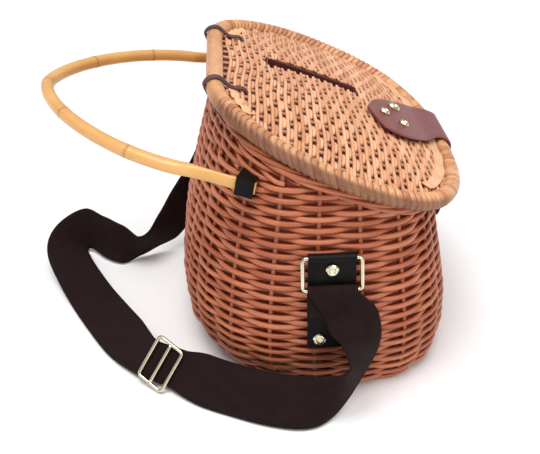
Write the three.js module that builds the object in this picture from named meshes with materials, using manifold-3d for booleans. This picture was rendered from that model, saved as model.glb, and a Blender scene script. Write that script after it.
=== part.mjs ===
// A willow fishing creel with a hinged lid, a bent cane handle and a webbing shoulder strap.
// Millimetres, +Z up. The origin is the middle of the underside, and the latch faces -Y.
import * as THREE from 'three';
import { mergeVertices } from 'three/addons/utils/BufferGeometryUtils.js';
import Module from 'manifold-3d';

// Woven body
const bodyWidth = 328; // side to side at the belly
const bodyDepth = 231; // front to back at the belly
const widestLine = 8; // how far behind the origin the body is widest
const frontRoundness = 3.1; // exponent of the front half of the plan
const backRoundness = 2.6; // exponent of the back half
const wallThickness = 8; // two layers of willow over the stakes
const baseThickness = 7;
const borderDiameter = 9; // the rolled top edge

// Lid and its hinge
const hingeHeight = 234.4;
const hingeY = bodyDepth * 0.3961;
const lidSlope = 23.3; // degrees, down to the front
const lidWidth = bodyWidth - 6; // between the middles of the rim rods
const lidBackReach = bodyDepth * 0.4546; // from the hinge to the lid's widest line
const lidFrontReach = bodyDepth * 0.4697; // from there to the front rod
const hingeStraight = 124; // the straight part of the back rod, which turns in the ties
const lidBackRoundness = 1.9;
const lidFrontRoundness = 2.5;
const lidDome = 12;
const lidThickness = 6.5;
const rimDiameter = 14;

// Fish slot in the lid
const slotWidth = 21;
const slotLength = 86;
const slotX = 21;
const slotFromHinge = 88; // middle of the slot, down the slope
const slotTrimThickness = 1.6;
const slotTrimHeight = 10;

// Cord ties of the hinge
const tieSpacing = 132;
const tieWidth = 5.4; // two cords side by side
const tieThickness = 2.2;
const tieClearance = 1; // round the back rod, so that it can turn
const tieTail = 16; // the stitch on the lid beside each tie

// Cane handle
const handleSpread = 257;
const handleReach = 119.4;
const handleEndY = hingeY + 21.3;
const handleEndHeight = hingeHeight * 0.829;
const handleRise = 23.7;
const handleRoundness = 1.62;
const handleDiameter = 10.5;
const handleFlatThickness = 4.5;
const handleFlatHeight = 10;
const handleFootY = hingeY - 27.5; // where its flattened end lies on the wall
const handleFootHeight = hingeHeight * 0.7893;
const lashingWidth = 14;
const lashingThickness = 1.8;

// Leather latch
const latchWidth = 80;
const latchThickness = 2.4;
const latchTipFromRim = 82; // from the front rod back to the blunt tip
const latchDrop = 78; // how far it hangs below the front rod
const latchLean = 6; // how far the hanging end swings in to the body
const latchCapDiameter = 15;
const latchCapHeight = 4;
const latchCapFromEnd = 13;
const latchSocketDiameter = 13;
const latchStudDiameter = 9;
const latchStudHeight = 3;

// Side tabs, rings and rivets
const tabWidth = 36;
const tabThickness = 4; // two layers of leather
const tabTop = hingeHeight * 0.5973;
const tabBottom = hingeHeight * 0.2368;
const tabY = 9.5;
const ringWire = 3;
const ringDrop = 25; // between its upper and lower bars
const ringLean = 14; // degrees off the wall
const ringCorner = 3;
const rivetDiameter = 10;
const rivetHeight = 1.8;

// Webbing strap and its slide
const strapWidth = 42;
const strapThickness = 2;
const strapTail = 24; // the sewn end behind each ring
const strapBunching = 0.9; // share of its width that the strap keeps in the rings
const slideLength = 26;
const slideWire = 3;
const slideAt = 0.42593; // share of the strap's length from the near ring
const slideSkew = 18; // degrees that it has slipped askew on the strap
const slideGather = 0.82; // share of its width that the strap keeps in the slide

const clearance = 0.3; // between pieces that lie on each other
const bodySegments = 56;
const rimSegments = 60;
const rimSides = 10;

// Level sections of the body, from the ground up. Heights are shares of the hinge height,
// widths of the body width, and reaches from the widest line are shares of the body depth.
const bodySections = [
  { height: 0.0, width: 0.872, front: 0.45, back: 0.34 },
  { height: 0.026, width: 0.905, front: 0.465, back: 0.4 },
  { height: 0.064, width: 0.93, front: 0.477, back: 0.463 },
  { height: 0.128, width: 0.957, front: 0.485, back: 0.511 },
  { height: 0.256, width: 0.991, front: 0.478, back: 0.519 },
  { height: 0.427, width: 1.0, front: 0.446, back: 0.498 },
  { height: 0.64, width: 0.982, front: 0.405, back: 0.448 },
  { height: 0.853, width: 0.96, front: 0.364, back: 0.39 },
  { height: 1.08, width: 0.935, front: 0.32, back: 0.33 },
];

// The latch from its tip: run is a share of its length on the lid, half a share of its width,
// and centre is the same share to the side.
const latchOutline = [
  { run: 0.0, half: 0.06, centre: -0.28 },
  { run: 0.08, half: 0.34, centre: -0.36 },
  { run: 0.24, half: 0.475, centre: -0.28 },
  { run: 0.44, half: 0.52, centre: -0.155 },
  { run: 0.68, half: 0.5, centre: 0.07 },
  { run: 0.93, half: 0.4, centre: 0.31 },
  { run: 1.0, half: 0.39, centre: 0.28 },
];

// Studs on the latch, in the same shares.
const latchStuds = [
  { name: 'latch_stud_tip', run: 0.19, side: -0.29, size: 1 },
  { name: 'latch_stud_far', run: 0.37, side: 0.06, size: 1.3 },
  { name: 'latch_stud_near', run: 0.41, side: -0.36, size: 1 },
];

// Rivets of a side tab: side is a share of its width, height a share of its height.
const tabRivets = [
  { name: 'top', side: 0.0, height: 0.84 },
  { name: 'back', side: 0.25, height: 0.11 },
  { name: 'front', side: -0.3, height: 0.11 },
];

// Route of the strap from the near ring round the back to the far ring. Side is a share of half
// the body width, depth of half the body depth and height of the strap width. Tilt and heading
// are the direction across the strap, in degrees above the ground and from +X.
const strapRoute = [
  { side: -1.064, depth: -0.036, height: 2.199, tilt: -15, heading: 90 },
  { side: -1.091, depth: -0.068, height: 1.948, tilt: -1, heading: 106 },
  { side: -1.12, depth: -0.098, height: 1.702, tilt: 20, heading: 123 },
  { side: -1.102, depth: -0.101, height: 1.257, tilt: 33, heading: 138 },
  { side: -1.109, depth: -0.073, height: 0.957, tilt: 47, heading: 153 },
  { side: -1.139, depth: -0.009, height: 0.78, tilt: 63, heading: 157 },
  { side: -1.146, depth: 0.082, height: 0.584, tilt: 82, heading: 131 },
  { side: -1.162, depth: 0.209, height: 0.522, tilt: 73, heading: 7 },
  { side: -1.134, depth: 0.373, height: 0.466, tilt: 57, heading: 1 },
  { side: -1.086, depth: 0.555, height: 0.446, tilt: 55, heading: -5 },
  { side: -1.024, depth: 0.74, height: 0.449, tilt: 57, heading: -10 },
  { side: -0.952, depth: 0.915, height: 0.446, tilt: 56, heading: -22 },
  { side: -0.885, depth: 1.05, height: 0.446, tilt: 55, heading: -42 },
  { side: -0.834, depth: 1.155, height: 0.452, tilt: 56, heading: -60 },
  { side: -0.792, depth: 1.248, height: 0.452, tilt: 56, heading: -60 },
  { side: -0.75, depth: 1.341, height: 0.452, tilt: 56, heading: -60 },
  { side: -0.633, depth: 1.458, height: 0.38, tilt: 43, heading: -70 },
  { side: -0.46, depth: 1.588, height: 0.29, tilt: 30, heading: -63 },
  { side: -0.254, depth: 1.732, height: 0.198, tilt: 19, heading: -63 },
  { side: -0.031, depth: 1.886, height: 0.14, tilt: 10, heading: -70 },
  { side: 0.165, depth: 2.025, height: 0.223, tilt: 1, heading: -73 },
  { side: 0.347, depth: 2.14, height: 0.353, tilt: -8, heading: -78 },
  { side: 0.487, depth: 2.173, height: 0.37, tilt: -25, heading: -90 },
  { side: 0.578, depth: 2.132, height: 0.412, tilt: -48, heading: -114 },
  { side: 0.607, depth: 2.021, height: 0.545, tilt: -64, heading: -169 },
  { side: 0.503, depth: 1.859, height: 0.525, tilt: -64, heading: 178 },
  { side: 0.394, depth: 1.681, height: 0.53, tilt: -82, heading: 155 },
  { side: 0.389, depth: 1.534, height: 0.47, tilt: -57, heading: 4 },
  { side: 0.418, depth: 1.414, height: 0.58, tilt: -50, heading: -13 },
  { side: 0.473, depth: 1.279, height: 0.822, tilt: -55, heading: -45 },
  { side: 0.582, depth: 1.132, height: 1.256, tilt: -52, heading: -59 },
  { side: 0.713, depth: 0.994, height: 1.723, tilt: -55, heading: -49 },
  { side: 0.854, depth: 0.9, height: 2.0, tilt: -72, heading: -60 },
  { side: 0.994, depth: 0.693, height: 2.12, tilt: -78, heading: -80 },
  { side: 1.085, depth: 0.45, height: 2.11, tilt: -62, heading: -88 },
  { side: 1.11, depth: 0.225, height: 2.11, tilt: -35, heading: -90 },
  { side: 1.104, depth: 0.113, height: 2.31, tilt: -10, heading: -90 },
];

const slope = THREE.MathUtils.degToRad(lidSlope);
const rimRadius = rimDiameter / 2;
const borderRadius = borderDiameter / 2;
const wasm = await Module();
wasm.setup();

// A closed body through rings of points, each ring with the same even count. The first and last
// rings are capped, or joined to each other where the body is a loop.
function ringSolid(rings, loop = false) {
  const count = rings[0].length;
  const positions = rings.flat().flatMap((p) => [p.x, p.y, p.z]);
  const index = [];
  const steps = loop ? rings.length : rings.length - 1;
  for (let i = 0; i < steps; i++) {
    const next = ((i + 1) % rings.length) * count;
    for (let k = 0; k < count; k++) {
      const a = i * count + k;
      const b = i * count + ((k + 1) % count);
      const c = next + ((k + 1) % count);
      const d = next + k;
      index.push(a, b, c, a, c, d);
    }
  }
  if (!loop) {
    const last = (rings.length - 1) * count;
    for (let k = 0; k < count / 2 - 1; k++) {
      const m = count - 1 - k;
      index.push(k, m, k + 1, k + 1, m, m - 1);
      index.push(last + k, last + k + 1, last + m, last + k + 1, last + m - 1, last + m);
    }
  }
  const geometry = new THREE.BufferGeometry();
  geometry.setAttribute('position', new THREE.Float32BufferAttribute(positions, 3));
  geometry.setIndex(index);
  return facingOut(geometry);
}

// Turns every triangle round where the body would have a negative volume.
function facingOut(geometry) {
  const p = geometry.attributes.position;
  const index = Array.from(geometry.index.array);
  let volume = 0;
  const [a, b, c] = [new THREE.Vector3(), new THREE.Vector3(), new THREE.Vector3()];
  for (let i = 0; i < index.length; i += 3) {
    a.fromBufferAttribute(p, index[i]);
    b.fromBufferAttribute(p, index[i + 1]);
    c.fromBufferAttribute(p, index[i + 2]);
    volume += a.dot(b.cross(c));
  }
  if (volume < 0) {
    index.reverse();
    geometry.setIndex(index);
  }
  return geometry;
}

function toSolid(geometry) {
  const bare = new THREE.BufferGeometry();
  bare.setAttribute('position', geometry.attributes.position.clone());
  bare.setIndex(geometry.index);
  const merged = mergeVertices(bare, 1e-4);
  const triVerts = [];
  const flat = Array.from(merged.index.array);
  for (let i = 0; i < flat.length; i += 3) {
    const [a, b, c] = flat.slice(i, i + 3);
    if (a !== b && b !== c && a !== c) triVerts.push(a, b, c);
  }
  return new wasm.Manifold(
    new wasm.Mesh({
      numProp: 3,
      vertProperties: new Float32Array(merged.attributes.position.array),
      triVerts: new Uint32Array(triVerts),
    }),
  );
}

function toGeometry(solid) {
  const mesh = solid.getMesh();
  const geometry = new THREE.BufferGeometry();
  const positions = [];
  for (let i = 0; i < mesh.vertProperties.length; i += mesh.numProp) {
    positions.push(...mesh.vertProperties.slice(i, i + 3));
  }
  geometry.setAttribute('position', new THREE.Float32BufferAttribute(positions, 3));
  geometry.setIndex(Array.from(mesh.triVerts));
  return geometry;
}

function cutBy(geometry, cutters) {
  let solid = toSolid(geometry);
  for (const cutter of cutters) {
    solid = solid.subtract(toSolid(cutter));
  }
  return toGeometry(solid);
}

function power(value, exponent) {
  return Math.sign(value) * Math.abs(value) ** exponent;
}

function mix(a, b, t) {
  return a + (b - a) * t;
}

// The row of a table at a place along one of its columns, with the other columns in between.
function rowAt(table, column, value) {
  const last = table.length - 1;
  let i = 0;
  while (i < last - 1 && table[i + 1][column] < value) i++;
  const t = (value - table[i][column]) / (table[i + 1][column] - table[i][column]);
  const row = {};
  for (const key of Object.keys(table[i])) {
    row[key] = mix(table[i][key], table[i + 1][key], t);
  }
  return row;
}

// Plan of the body at a height: half a superellipse in front of the widest line, half behind it.
function bodyPoint(angle, z, inset = 0) {
  const row = rowAt(bodySections, 'height', z / hingeHeight);
  const c = Math.cos(angle);
  const s = Math.sin(angle);
  const back = s >= 0;
  const roundness = back ? backRoundness : frontRoundness;
  const reach = (back ? row.back : row.front) * bodyDepth - inset;
  const half = (row.width * bodyWidth) / 2 - inset;
  return new THREE.Vector3(
    half * power(c, 2 / roundness),
    widestLine + reach * power(s, 2 / roundness),
    z,
  );
}

// Half width of the body's outside at a depth y and a height z.
function bodyHalfWidth(y, z) {
  const row = rowAt(bodySections, 'height', z / hingeHeight);
  const roundness = y > widestLine ? backRoundness : frontRoundness;
  const reach = (y > widestLine ? row.back : row.front) * bodyDepth;
  const share = Math.min(1, Math.abs(y - widestLine) / reach);
  return ((row.width * bodyWidth) / 2) * (1 - share ** roundness) ** (1 / roundness);
}

function bodyFrontY(z) {
  return widestLine - rowAt(bodySections, 'height', z / hingeHeight).front * bodyDepth;
}

// Height of a plane that lies parallel to the lid, this far above it, at a depth y.
function lidPlaneHeight(y, above) {
  return hingeHeight - (hingeY - y) * Math.tan(slope) + above / Math.cos(slope);
}

function angles(count) {
  return Array.from({ length: count }, (_, i) => ((i + 0.5) / count) * 2 * Math.PI);
}

// The lid's rim line in the lid's own frame, where the hinge is the X axis and the front is -Y.
function lidPoint(angle, inset) {
  const c = Math.cos(angle);
  const s = Math.sin(angle);
  const half = lidWidth / 2 - inset;
  if (s >= 0) {
    const straight = hingeStraight / 2;
    const x = Math.sign(c) * straight + (half - straight) * power(c, 2 / lidBackRoundness);
    return new THREE.Vector3(x, -lidBackReach + (lidBackReach - inset) * s ** (2 / lidBackRoundness), 0);
  }
  const x = half * power(c, 2 / lidFrontRoundness);
  return new THREE.Vector3(x, -lidBackReach + (lidFrontReach - inset) * power(s, 2 / lidFrontRoundness), 0);
}

const panelInset = rimRadius + clearance;

// Whether a point of the lid lies inside the panel's outline.
function insidePanel(x, y) {
  const back = y > -lidBackReach;
  const straight = back ? hingeStraight / 2 : 0;
  const roundness = back ? lidBackRoundness : lidFrontRoundness;
  const reach = (back ? lidBackReach : lidFrontReach) - panelInset;
  const across = Math.max(0, Math.abs(x) - straight) / (lidWidth / 2 - panelInset - straight);
  const along = Math.abs(y + lidBackReach) / reach;
  return across ** roundness + along ** roundness <= 1;
}

// Height of the panel's middle layer above the rim's plane: it falls with the square of the
// share at which the outline, shrunk to the widest line's middle, passes through the point.
function panelHeight(x, y) {
  let low = 0.01;
  let high = 1;
  for (let i = 0; i < 30; i++) {
    const share = (low + high) / 2;
    if (insidePanel(x / share, (y + lidBackReach) / share - lidBackReach)) high = share;
    else low = share;
  }
  return lidDome * (1 - high ** 2);
}

// Middle of the border: it follows the wall's middle in a plane parallel to the lid.
const borderDepth = -(rimRadius + clearance + borderRadius);

function borderPoint(angle) {
  let point = bodyPoint(angle, hingeHeight, wallThickness / 2);
  for (let i = 0; i < 30; i++) {
    point = bodyPoint(angle, lidPlaneHeight(point.y, borderDepth), wallThickness / 2);
  }
  return point;
}

// The border's middle line at a side distance x on the back, by halving the angle.
function borderAt(x) {
  let low = 0;
  let high = Math.PI / 2;
  for (let i = 0; i < 40; i++) {
    const middle = (low + high) / 2;
    if (borderPoint(middle).x > x) low = middle;
    else high = middle;
  }
  return borderPoint(low);
}

// A round tube on a closed line of points in which up is the direction that stays square to it.
function loopTube(points, radius, up, sides) {
  const count = points.length;
  const rings = points.map((point, i) => {
    const before = points[(i + count - 1) % count];
    const after = points[(i + 1) % count];
    const along = after.clone().sub(before).normalize();
    const out = along.clone().cross(up).normalize();
    const over = out.clone().cross(along).normalize();
    return Array.from({ length: sides }, (_, k) => {
      const a = (k / sides) * 2 * Math.PI;
      return point
        .clone()
        .addScaledVector(out, radius * Math.cos(a))
        .addScaledVector(over, radius * Math.sin(a));
    });
  });
  return ringSolid(rings, true);
}

// A belt of a thickness round two circles in a plane, extruded by its width. The circles are
// given as [x, y, radius]; with no thickness it is the filled outline.
function beltShape(first, second, grow) {
  const [ax, ay, ar] = [first[0], first[1], first[2] + grow];
  const [bx, by, br] = [second[0], second[1], second[2] + grow];
  const run = Math.hypot(bx - ax, by - ay);
  const heading = Math.atan2(by - ay, bx - ax);
  const spread = Math.acos((ar - br) / run);
  const points = [];
  const steps = 10;
  for (let i = 0; i <= steps; i++) {
    const a = heading + spread + ((2 * Math.PI - 2 * spread) * i) / steps;
    points.push(new THREE.Vector2(ax + ar * Math.cos(a), ay + ar * Math.sin(a)));
  }
  for (let i = 0; i <= steps; i++) {
    const a = heading - spread + (2 * spread * i) / steps;
    points.push(new THREE.Vector2(bx + br * Math.cos(a), by + br * Math.sin(a)));
  }
  return points;
}

function extrude(outline, hole, width) {
  const shape = new THREE.Shape(outline);
  if (hole) shape.holes.push(new THREE.Path(hole));
  const geometry = new THREE.ExtrudeGeometry(shape, { depth: width, bevelEnabled: false });
  geometry.translate(0, 0, -width / 2);
  return mergedOnly(geometry);
}

function mergedOnly(geometry) {
  geometry.deleteAttribute('normal');
  geometry.deleteAttribute('uv');
  return mergeVertices(geometry, 1e-4);
}

// Shape planes: an extrusion along Z is turned so that its outline lies in the YZ plane.
function standInYZ(geometry) {
  return geometry.applyMatrix4(
    new THREE.Matrix4().makeBasis(
      new THREE.Vector3(0, 1, 0),
      new THREE.Vector3(0, 0, 1),
      new THREE.Vector3(1, 0, 0),
    ),
  );
}

function standInXZ(geometry) {
  return geometry.applyMatrix4(
    new THREE.Matrix4().makeBasis(
      new THREE.Vector3(1, 0, 0),
      new THREE.Vector3(0, 0, 1),
      new THREE.Vector3(0, -1, 0),
    ),
  );
}

function box(width, depth, height, x, y, z) {
  const geometry = new THREE.BoxGeometry(width, depth, height);
  return mergedOnly(geometry).translate(x, y, z);
}

const materials = {
  wicker: new THREE.MeshStandardMaterial({ color: 0xc77f4f, roughness: 0.55, metalness: 0 }),
  lidWicker: new THREE.MeshStandardMaterial({ color: 0xd9a273, roughness: 0.5, metalness: 0 }),
  rim: new THREE.MeshStandardMaterial({ color: 0xd9a45f, roughness: 0.45, metalness: 0 }),
  cane: new THREE.MeshStandardMaterial({ color: 0xd9923f, roughness: 0.4, metalness: 0 }),
  brownLeather: new THREE.MeshStandardMaterial({ color: 0x5e3135, roughness: 0.45, metalness: 0 }),
  blackLeather: new THREE.MeshStandardMaterial({ color: 0x161314, roughness: 0.5, metalness: 0 }),
  webbing: new THREE.MeshStandardMaterial({ color: 0x33262a, roughness: 0.85, metalness: 0 }),
  cord: new THREE.MeshStandardMaterial({ color: 0x4a3038, roughness: 0.6, metalness: 0 }),
  metal: new THREE.MeshStandardMaterial({ color: 0xcfc4a4, roughness: 0.25, metalness: 1 }),
};

function named(name, geometry, material) {
  const mesh = new THREE.Mesh(geometry, material);
  mesh.name = name;
  return mesh;
}

// Hinge ties: a belt round the back rod and the border under it, seen in the YZ plane.
function tieCircles(x) {
  const side = Math.abs(x);
  const border = borderAt(side);
  const turn = Math.abs(borderAt(side - tieWidth / 2).y - borderAt(side + tieWidth / 2).y) / 2;
  return [
    [hingeY, hingeHeight, rimRadius + tieClearance],
    [border.y, border.z, borderRadius + clearance + turn],
  ];
}

function hingeTie(x) {
  const [rod, border] = tieCircles(x);
  const belt = extrude(beltShape(rod, border, tieThickness), beltShape(rod, border, 0), tieWidth);
  return standInYZ(belt).translate(x, 0, 0);
}

function tieNotch(x) {
  const [rod, border] = tieCircles(x);
  const notch = extrude(beltShape(rod, border, tieThickness + clearance), null, tieWidth + 4 * clearance);
  return standInYZ(notch).translate(x, 0, 0);
}

// The body is a closed shell with an open top, cut parallel to the lid under the border.
function shellRings(inset, floor) {
  const heights = bodySections.map((row) => row.height * hingeHeight);
  const levels = heights.map((z, i) => (i === 0 ? floor : Math.max(z, floor + i)));
  return levels.map((z) => angles(bodySegments).map((a) => bodyPoint(a, z, inset)));
}

function basketWall() {
  const outside = ringSolid(shellRings(0, 0));
  const inside = ringSolid(shellRings(wallThickness, baseThickness));
  const top = hingeHeight;
  const slab = box(2 * bodyWidth, 3 * bodyDepth, top, 0, 0, top / 2);
  slab.translate(0, 0, borderDepth - borderRadius - clearance);
  slab.rotateX(slope);
  slab.translate(0, hingeY, hingeHeight);
  const slots = [-1, 1].flatMap((side) => [
    tieNotch((side * tieSpacing) / 2),
    lashingBand(side, clearance, null),
  ]);
  return cutBy(outside, [inside, slab, ...slots]);
}

function basketBorder() {
  const up = new THREE.Vector3(0, 0, 1);
  return loopTube(angles(bodySegments).map(borderPoint), borderRadius, up, 8);
}

// The handle's line for one half: the flattened foot on the wall, then the bent hoop.
function handleFoot() {
  const low = handleFootHeight - handleFlatHeight / 2;
  const x = bodyHalfWidth(handleFootY, low) + 2 * clearance + handleFlatThickness / 2;
  return new THREE.Vector3(x, handleFootY, handleFootHeight);
}

function hoopPoint(turn) {
  const share = Math.cos(turn) ** (2 / handleRoundness);
  return new THREE.Vector3(
    (handleSpread / 2) * power(Math.sin(turn), 2 / handleRoundness),
    handleEndY + handleReach * share,
    handleEndHeight + handleRise * share,
  );
}

function handleLine() {
  const foot = handleFoot();
  const start = hoopPoint(Math.PI / 2);
  const hoop = [0.94, 0.86, 0.77, 0.67, 0.56, 0.44, 0.3, 0.15].map((t) => hoopPoint((t * Math.PI) / 2));
  const half = [foot, foot.clone().lerp(start, 0.5), start, ...hoop];
  const mirrored = half.map((p) => new THREE.Vector3(-p.x, p.y, p.z)).reverse();
  return new THREE.CatmullRomCurve3([...half, hoopPoint(0), ...mirrored], false, 'centripetal');
}

// The rod is round along the hoop and flattened against the wall at its two feet.
function handleHoop() {
  const line = handleLine();
  const steps = 60;
  const length = line.getLength();
  const flatRun = handleEndY - handleFootY;
  const sides = 10;
  const rings = [];
  for (let i = 0; i <= steps; i++) {
    const t = i / steps;
    const point = line.getPointAt(t);
    const along = line.getTangentAt(t);
    const across = along.clone().cross(new THREE.Vector3(0, 0, 1)).normalize();
    const up = across.clone().cross(along).normalize();
    const run = Math.min(t, 1 - t) * length;
    const round = THREE.MathUtils.smoothstep(run, flatRun * 0.6, flatRun * 1.3);
    const thick = mix(handleFlatThickness, handleDiameter, round) / 2;
    const high = mix(handleFlatHeight, handleDiameter, round) / 2;
    rings.push(
      Array.from({ length: sides }, (_, k) => {
        const a = ((k + 0.5) / sides) * 2 * Math.PI;
        const square = mix(0.5, 1, round);
        return point
          .clone()
          .addScaledVector(across, thick * power(Math.cos(a), square))
          .addScaledVector(up, high * power(Math.sin(a), square));
      }),
    );
  }
  return ringSolid(rings);
}

// A leather lashing round the foot of the handle and through the wall. It is an open frame in
// the plane across the foot, extruded along it; grown, it is the pair of slots in the wall.
function lashingBand(side, grow, thickness) {
  const foot = handleFoot();
  const start = hoopPoint(Math.PI / 2);
  const along = start.clone().sub(foot).normalize();
  const centre = foot.clone().addScaledVector(along, lashingWidth / 2 + 2 * clearance);
  const across = new THREE.Vector3(0, 0, 1).cross(along).normalize().negate();
  const outward = across.x > 0 ? across : across.negate();
  const up = outward.clone().cross(along).normalize();
  if (up.z < 0) up.negate();
  const wallSkew = centre.x - bodyHalfWidth(centre.y, centre.z);
  const reach = handleFlatThickness / 2 + clearance;
  const inner = {
    left: -(wallThickness + wallSkew + 4 * clearance + lashingWidth / 2),
    right: reach,
    half: handleFlatHeight / 2 + clearance,
  };
  const band = lashingThickness;
  const frame = (more) => {
    const [l, r, h] = [inner.left - more, inner.right + more, inner.half + more];
    return [
      new THREE.Vector2(l, -h),
      new THREE.Vector2(r, -h),
      new THREE.Vector2(r, h),
      new THREE.Vector2(l, h),
    ];
  };
  const hole = thickness === null ? frame(-grow) : frame(0);
  const body = extrude(frame(band + grow), hole, lashingWidth + 2 * grow);
  const basis = new THREE.Matrix4().makeBasis(outward, up, outward.clone().cross(up));
  body.applyMatrix4(basis);
  body.translate(centre.x, centre.y, centre.z);
  if (side > 0) return body;
  body.scale(-1, 1, 1);
  return facingOut(body);
}

function lidRim() {
  const up = new THREE.Vector3(0, 0, 1);
  return loopTube(angles(rimSegments).map((a) => lidPoint(a, 0)), rimRadius, up, rimSides);
}

// How far the panel's notch for a tie reaches down the slope.
const tieNotchDepth = rimRadius + tieClearance + tieThickness + borderRadius;

function lidPanel() {
  const edge = angles(bodySegments).map((a) => lidPoint(a, panelInset));
  const shares = [0.12, 0.42, 0.68, 0.87, 1];
  const layer = (offset) => (share) =>
    edge.map(
      (p) =>
        new THREE.Vector3(
          p.x * share,
          -lidBackReach + (p.y + lidBackReach) * share,
          lidDome * (1 - share ** 2) + offset,
        ),
    );
  const top = shares.map(layer(lidThickness / 2));
  const bottom = [1, 0.8, 0.5, 0.12].map(layer(-lidThickness / 2));
  const slot = box(slotWidth, slotLength, 4 * lidDome, slotX, -slotFromHinge, lidDome);
  const notches = [-1, 1].map((side) =>
    box(tieWidth + 4 * clearance, tieNotchDepth, 3 * lidDome, (side * tieSpacing) / 2, -tieNotchDepth / 2, 0),
  );
  return cutBy(ringSolid([...top, ...bottom]), [slot, ...notches]);
}

// Leather lining of the slot, a frame as high as the weave.
function slotTrim() {
  const frame = (inset) => {
    const w = slotWidth / 2 - inset;
    const l = slotLength / 2 - inset;
    return [
      new THREE.Vector2(-w, -l),
      new THREE.Vector2(w, -l),
      new THREE.Vector2(w, l),
      new THREE.Vector2(-w, l),
    ];
  };
  const ring = extrude(frame(clearance), frame(clearance + slotTrimThickness), slotTrimHeight);
  const back = panelHeight(slotX, -slotFromHinge + slotLength / 2);
  const front = panelHeight(slotX, -slotFromHinge - slotLength / 2);
  const lean = new THREE.Matrix4().makeShear(0, 0, 0, (back - front) / slotLength, 0, 0);
  ring.applyMatrix4(lean);
  return ring.translate(slotX, -slotFromHinge, (back + front) / 2 + slotTrimHeight / 8);
}

// The stitch of a tie on the lid: a flat run of cord from the notch down the slope.
function hingeTail(side) {
  const start = tieNotchDepth + clearance;
  const steps = [0, 0.5, 1];
  const x = (side * tieSpacing) / 2;
  const rings = steps.map((t) => {
    const y = -(start + t * tieTail);
    const bottom = panelHeight(x, y) + lidThickness / 2 + 2 * clearance;
    return [
      new THREE.Vector3(x - tieWidth / 2, y, bottom),
      new THREE.Vector3(x + tieWidth / 2, y, bottom),
      new THREE.Vector3(x + tieWidth / 2, y, bottom + tieThickness),
      new THREE.Vector3(x - tieWidth / 2, y, bottom + tieThickness),
    ];
  });
  return ringSolid(rings);
}

// The latch's middle line in the lid's YZ plane: over the dome, round the front rod, and down.
const lidLength = lidBackReach + lidFrontReach;

function latchLine() {
  const over = rimRadius + clearance + latchThickness / 2;
  const rows = [];
  for (const run of [0, 0.05, 0.1, 0.2, 0.3, 0.45, 0.6, 0.75, 0.87]) {
    const y = -(lidLength - latchTipFromRim * (1 - run));
    const onDome = panelHeight(0, y) + lidThickness / 2 + clearance + latchThickness / 2;
    const ease = THREE.MathUtils.smoothstep(run, 0.45, 0.95);
    rows.push({ y, z: mix(onDome, Math.max(onDome, over), ease), run, drop: 0 });
  }
  const lean = Math.atan2(latchLean, latchDrop);
  const end = Math.PI - slope + lean;
  for (let i = 0; i <= 6; i++) {
    const a = mix(Math.PI / 2, end, i / 6);
    rows.push({ y: -lidLength + over * Math.cos(a), z: over * Math.sin(a), run: 1, drop: 0 });
  }
  const last = rows[rows.length - 1];
  const down = new THREE.Vector2(Math.cos(end + Math.PI / 2), Math.sin(end + Math.PI / 2));
  for (const drop of [0.25, 0.5, 0.75, 0.88, 0.96, 1]) {
    const step = drop * latchDrop;
    rows.push({ y: last.y + down.x * step, z: last.z + down.y * step, run: 1, drop });
  }
  return rows;
}

// Half width and side shift of the latch at a row of its line. The hanging end is rounded.
function latchSpan(row) {
  const outline = rowAt(latchOutline, 'run', row.run);
  const end = Math.max(0, (row.drop - 0.75) / 0.25);
  const rounded = Math.sqrt(Math.max(0.05, 1 - end ** 2));
  return { half: outline.half * latchWidth * rounded, centre: outline.centre * latchWidth };
}

function latchStrap() {
  const rows = latchLine();
  const rings = rows.map((row, i) => {
    const before = rows[Math.max(0, i - 1)];
    const after = rows[Math.min(rows.length - 1, i + 1)];
    const along = new THREE.Vector2(after.y - before.y, after.z - before.z).normalize();
    const out = new THREE.Vector2(along.y, -along.x).multiplyScalar(latchThickness / 2);
    const { half, centre } = latchSpan(row);
    return [
      new THREE.Vector3(centre - half, row.y + out.x, row.z + out.y),
      new THREE.Vector3(centre + half, row.y + out.x, row.z + out.y),
      new THREE.Vector3(centre + half, row.y - out.x, row.z - out.y),
      new THREE.Vector3(centre - half, row.y - out.x, row.z - out.y),
    ];
  });
  return ringSolid(rings);
}

// A domed stud or rivet head, its flat side on Z = 0.
function studHead(diameter, height) {
  const r = diameter / 2;
  const profile = [
    [0, 0],
    [r, 0],
    [r, height * 0.45],
    [r * 0.8, height * 0.9],
    [r * 0.55, height],
    [r * 0.4, height * 0.6],
    [0, height * 0.6],
  ].map(([x, y]) => new THREE.Vector2(x, y));
  const geometry = new THREE.LatheGeometry(profile, 12);
  geometry.rotateX(Math.PI / 2);
  return toGeometry(toSolid(facingOut(mergedOnly(geometry))));
}

function disc(diameter, height) {
  const geometry = new THREE.CylinderGeometry(diameter / 2, diameter / 2, height, 20);
  geometry.rotateX(Math.PI / 2);
  return mergedOnly(geometry).translate(0, 0, height / 2);
}

function latchStud(stud) {
  const y = -(lidLength - latchTipFromRim * (1 - stud.run));
  const mesh = named(stud.name, studHead(latchStudDiameter * stud.size, latchStudHeight), materials.metal);
  const bend = (panelHeight(0, y - 1) - panelHeight(0, y + 1)) / 2;
  const seat = panelHeight(0, y) + lidThickness / 2 + latchThickness + 2 * clearance;
  mesh.position.set(stud.side * latchWidth, y, seat);
  mesh.rotation.x = -Math.atan(bend);
  return mesh;
}

// The press stud: a cap outside the latch's hanging end and a plain socket on the body behind it.
function latchFastening() {
  const rows = latchLine();
  const last = rows[rows.length - 1];
  const before = rows[rows.length - 6];
  const along = new THREE.Vector3(0, last.y - before.y, last.z - before.z).normalize();
  const out = new THREE.Vector3(0, along.z, -along.y);
  const middle = new THREE.Vector3(latchSpan(last).centre, last.y, last.z).addScaledVector(along, -latchCapFromEnd);
  return { middle, along, out };
}

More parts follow.
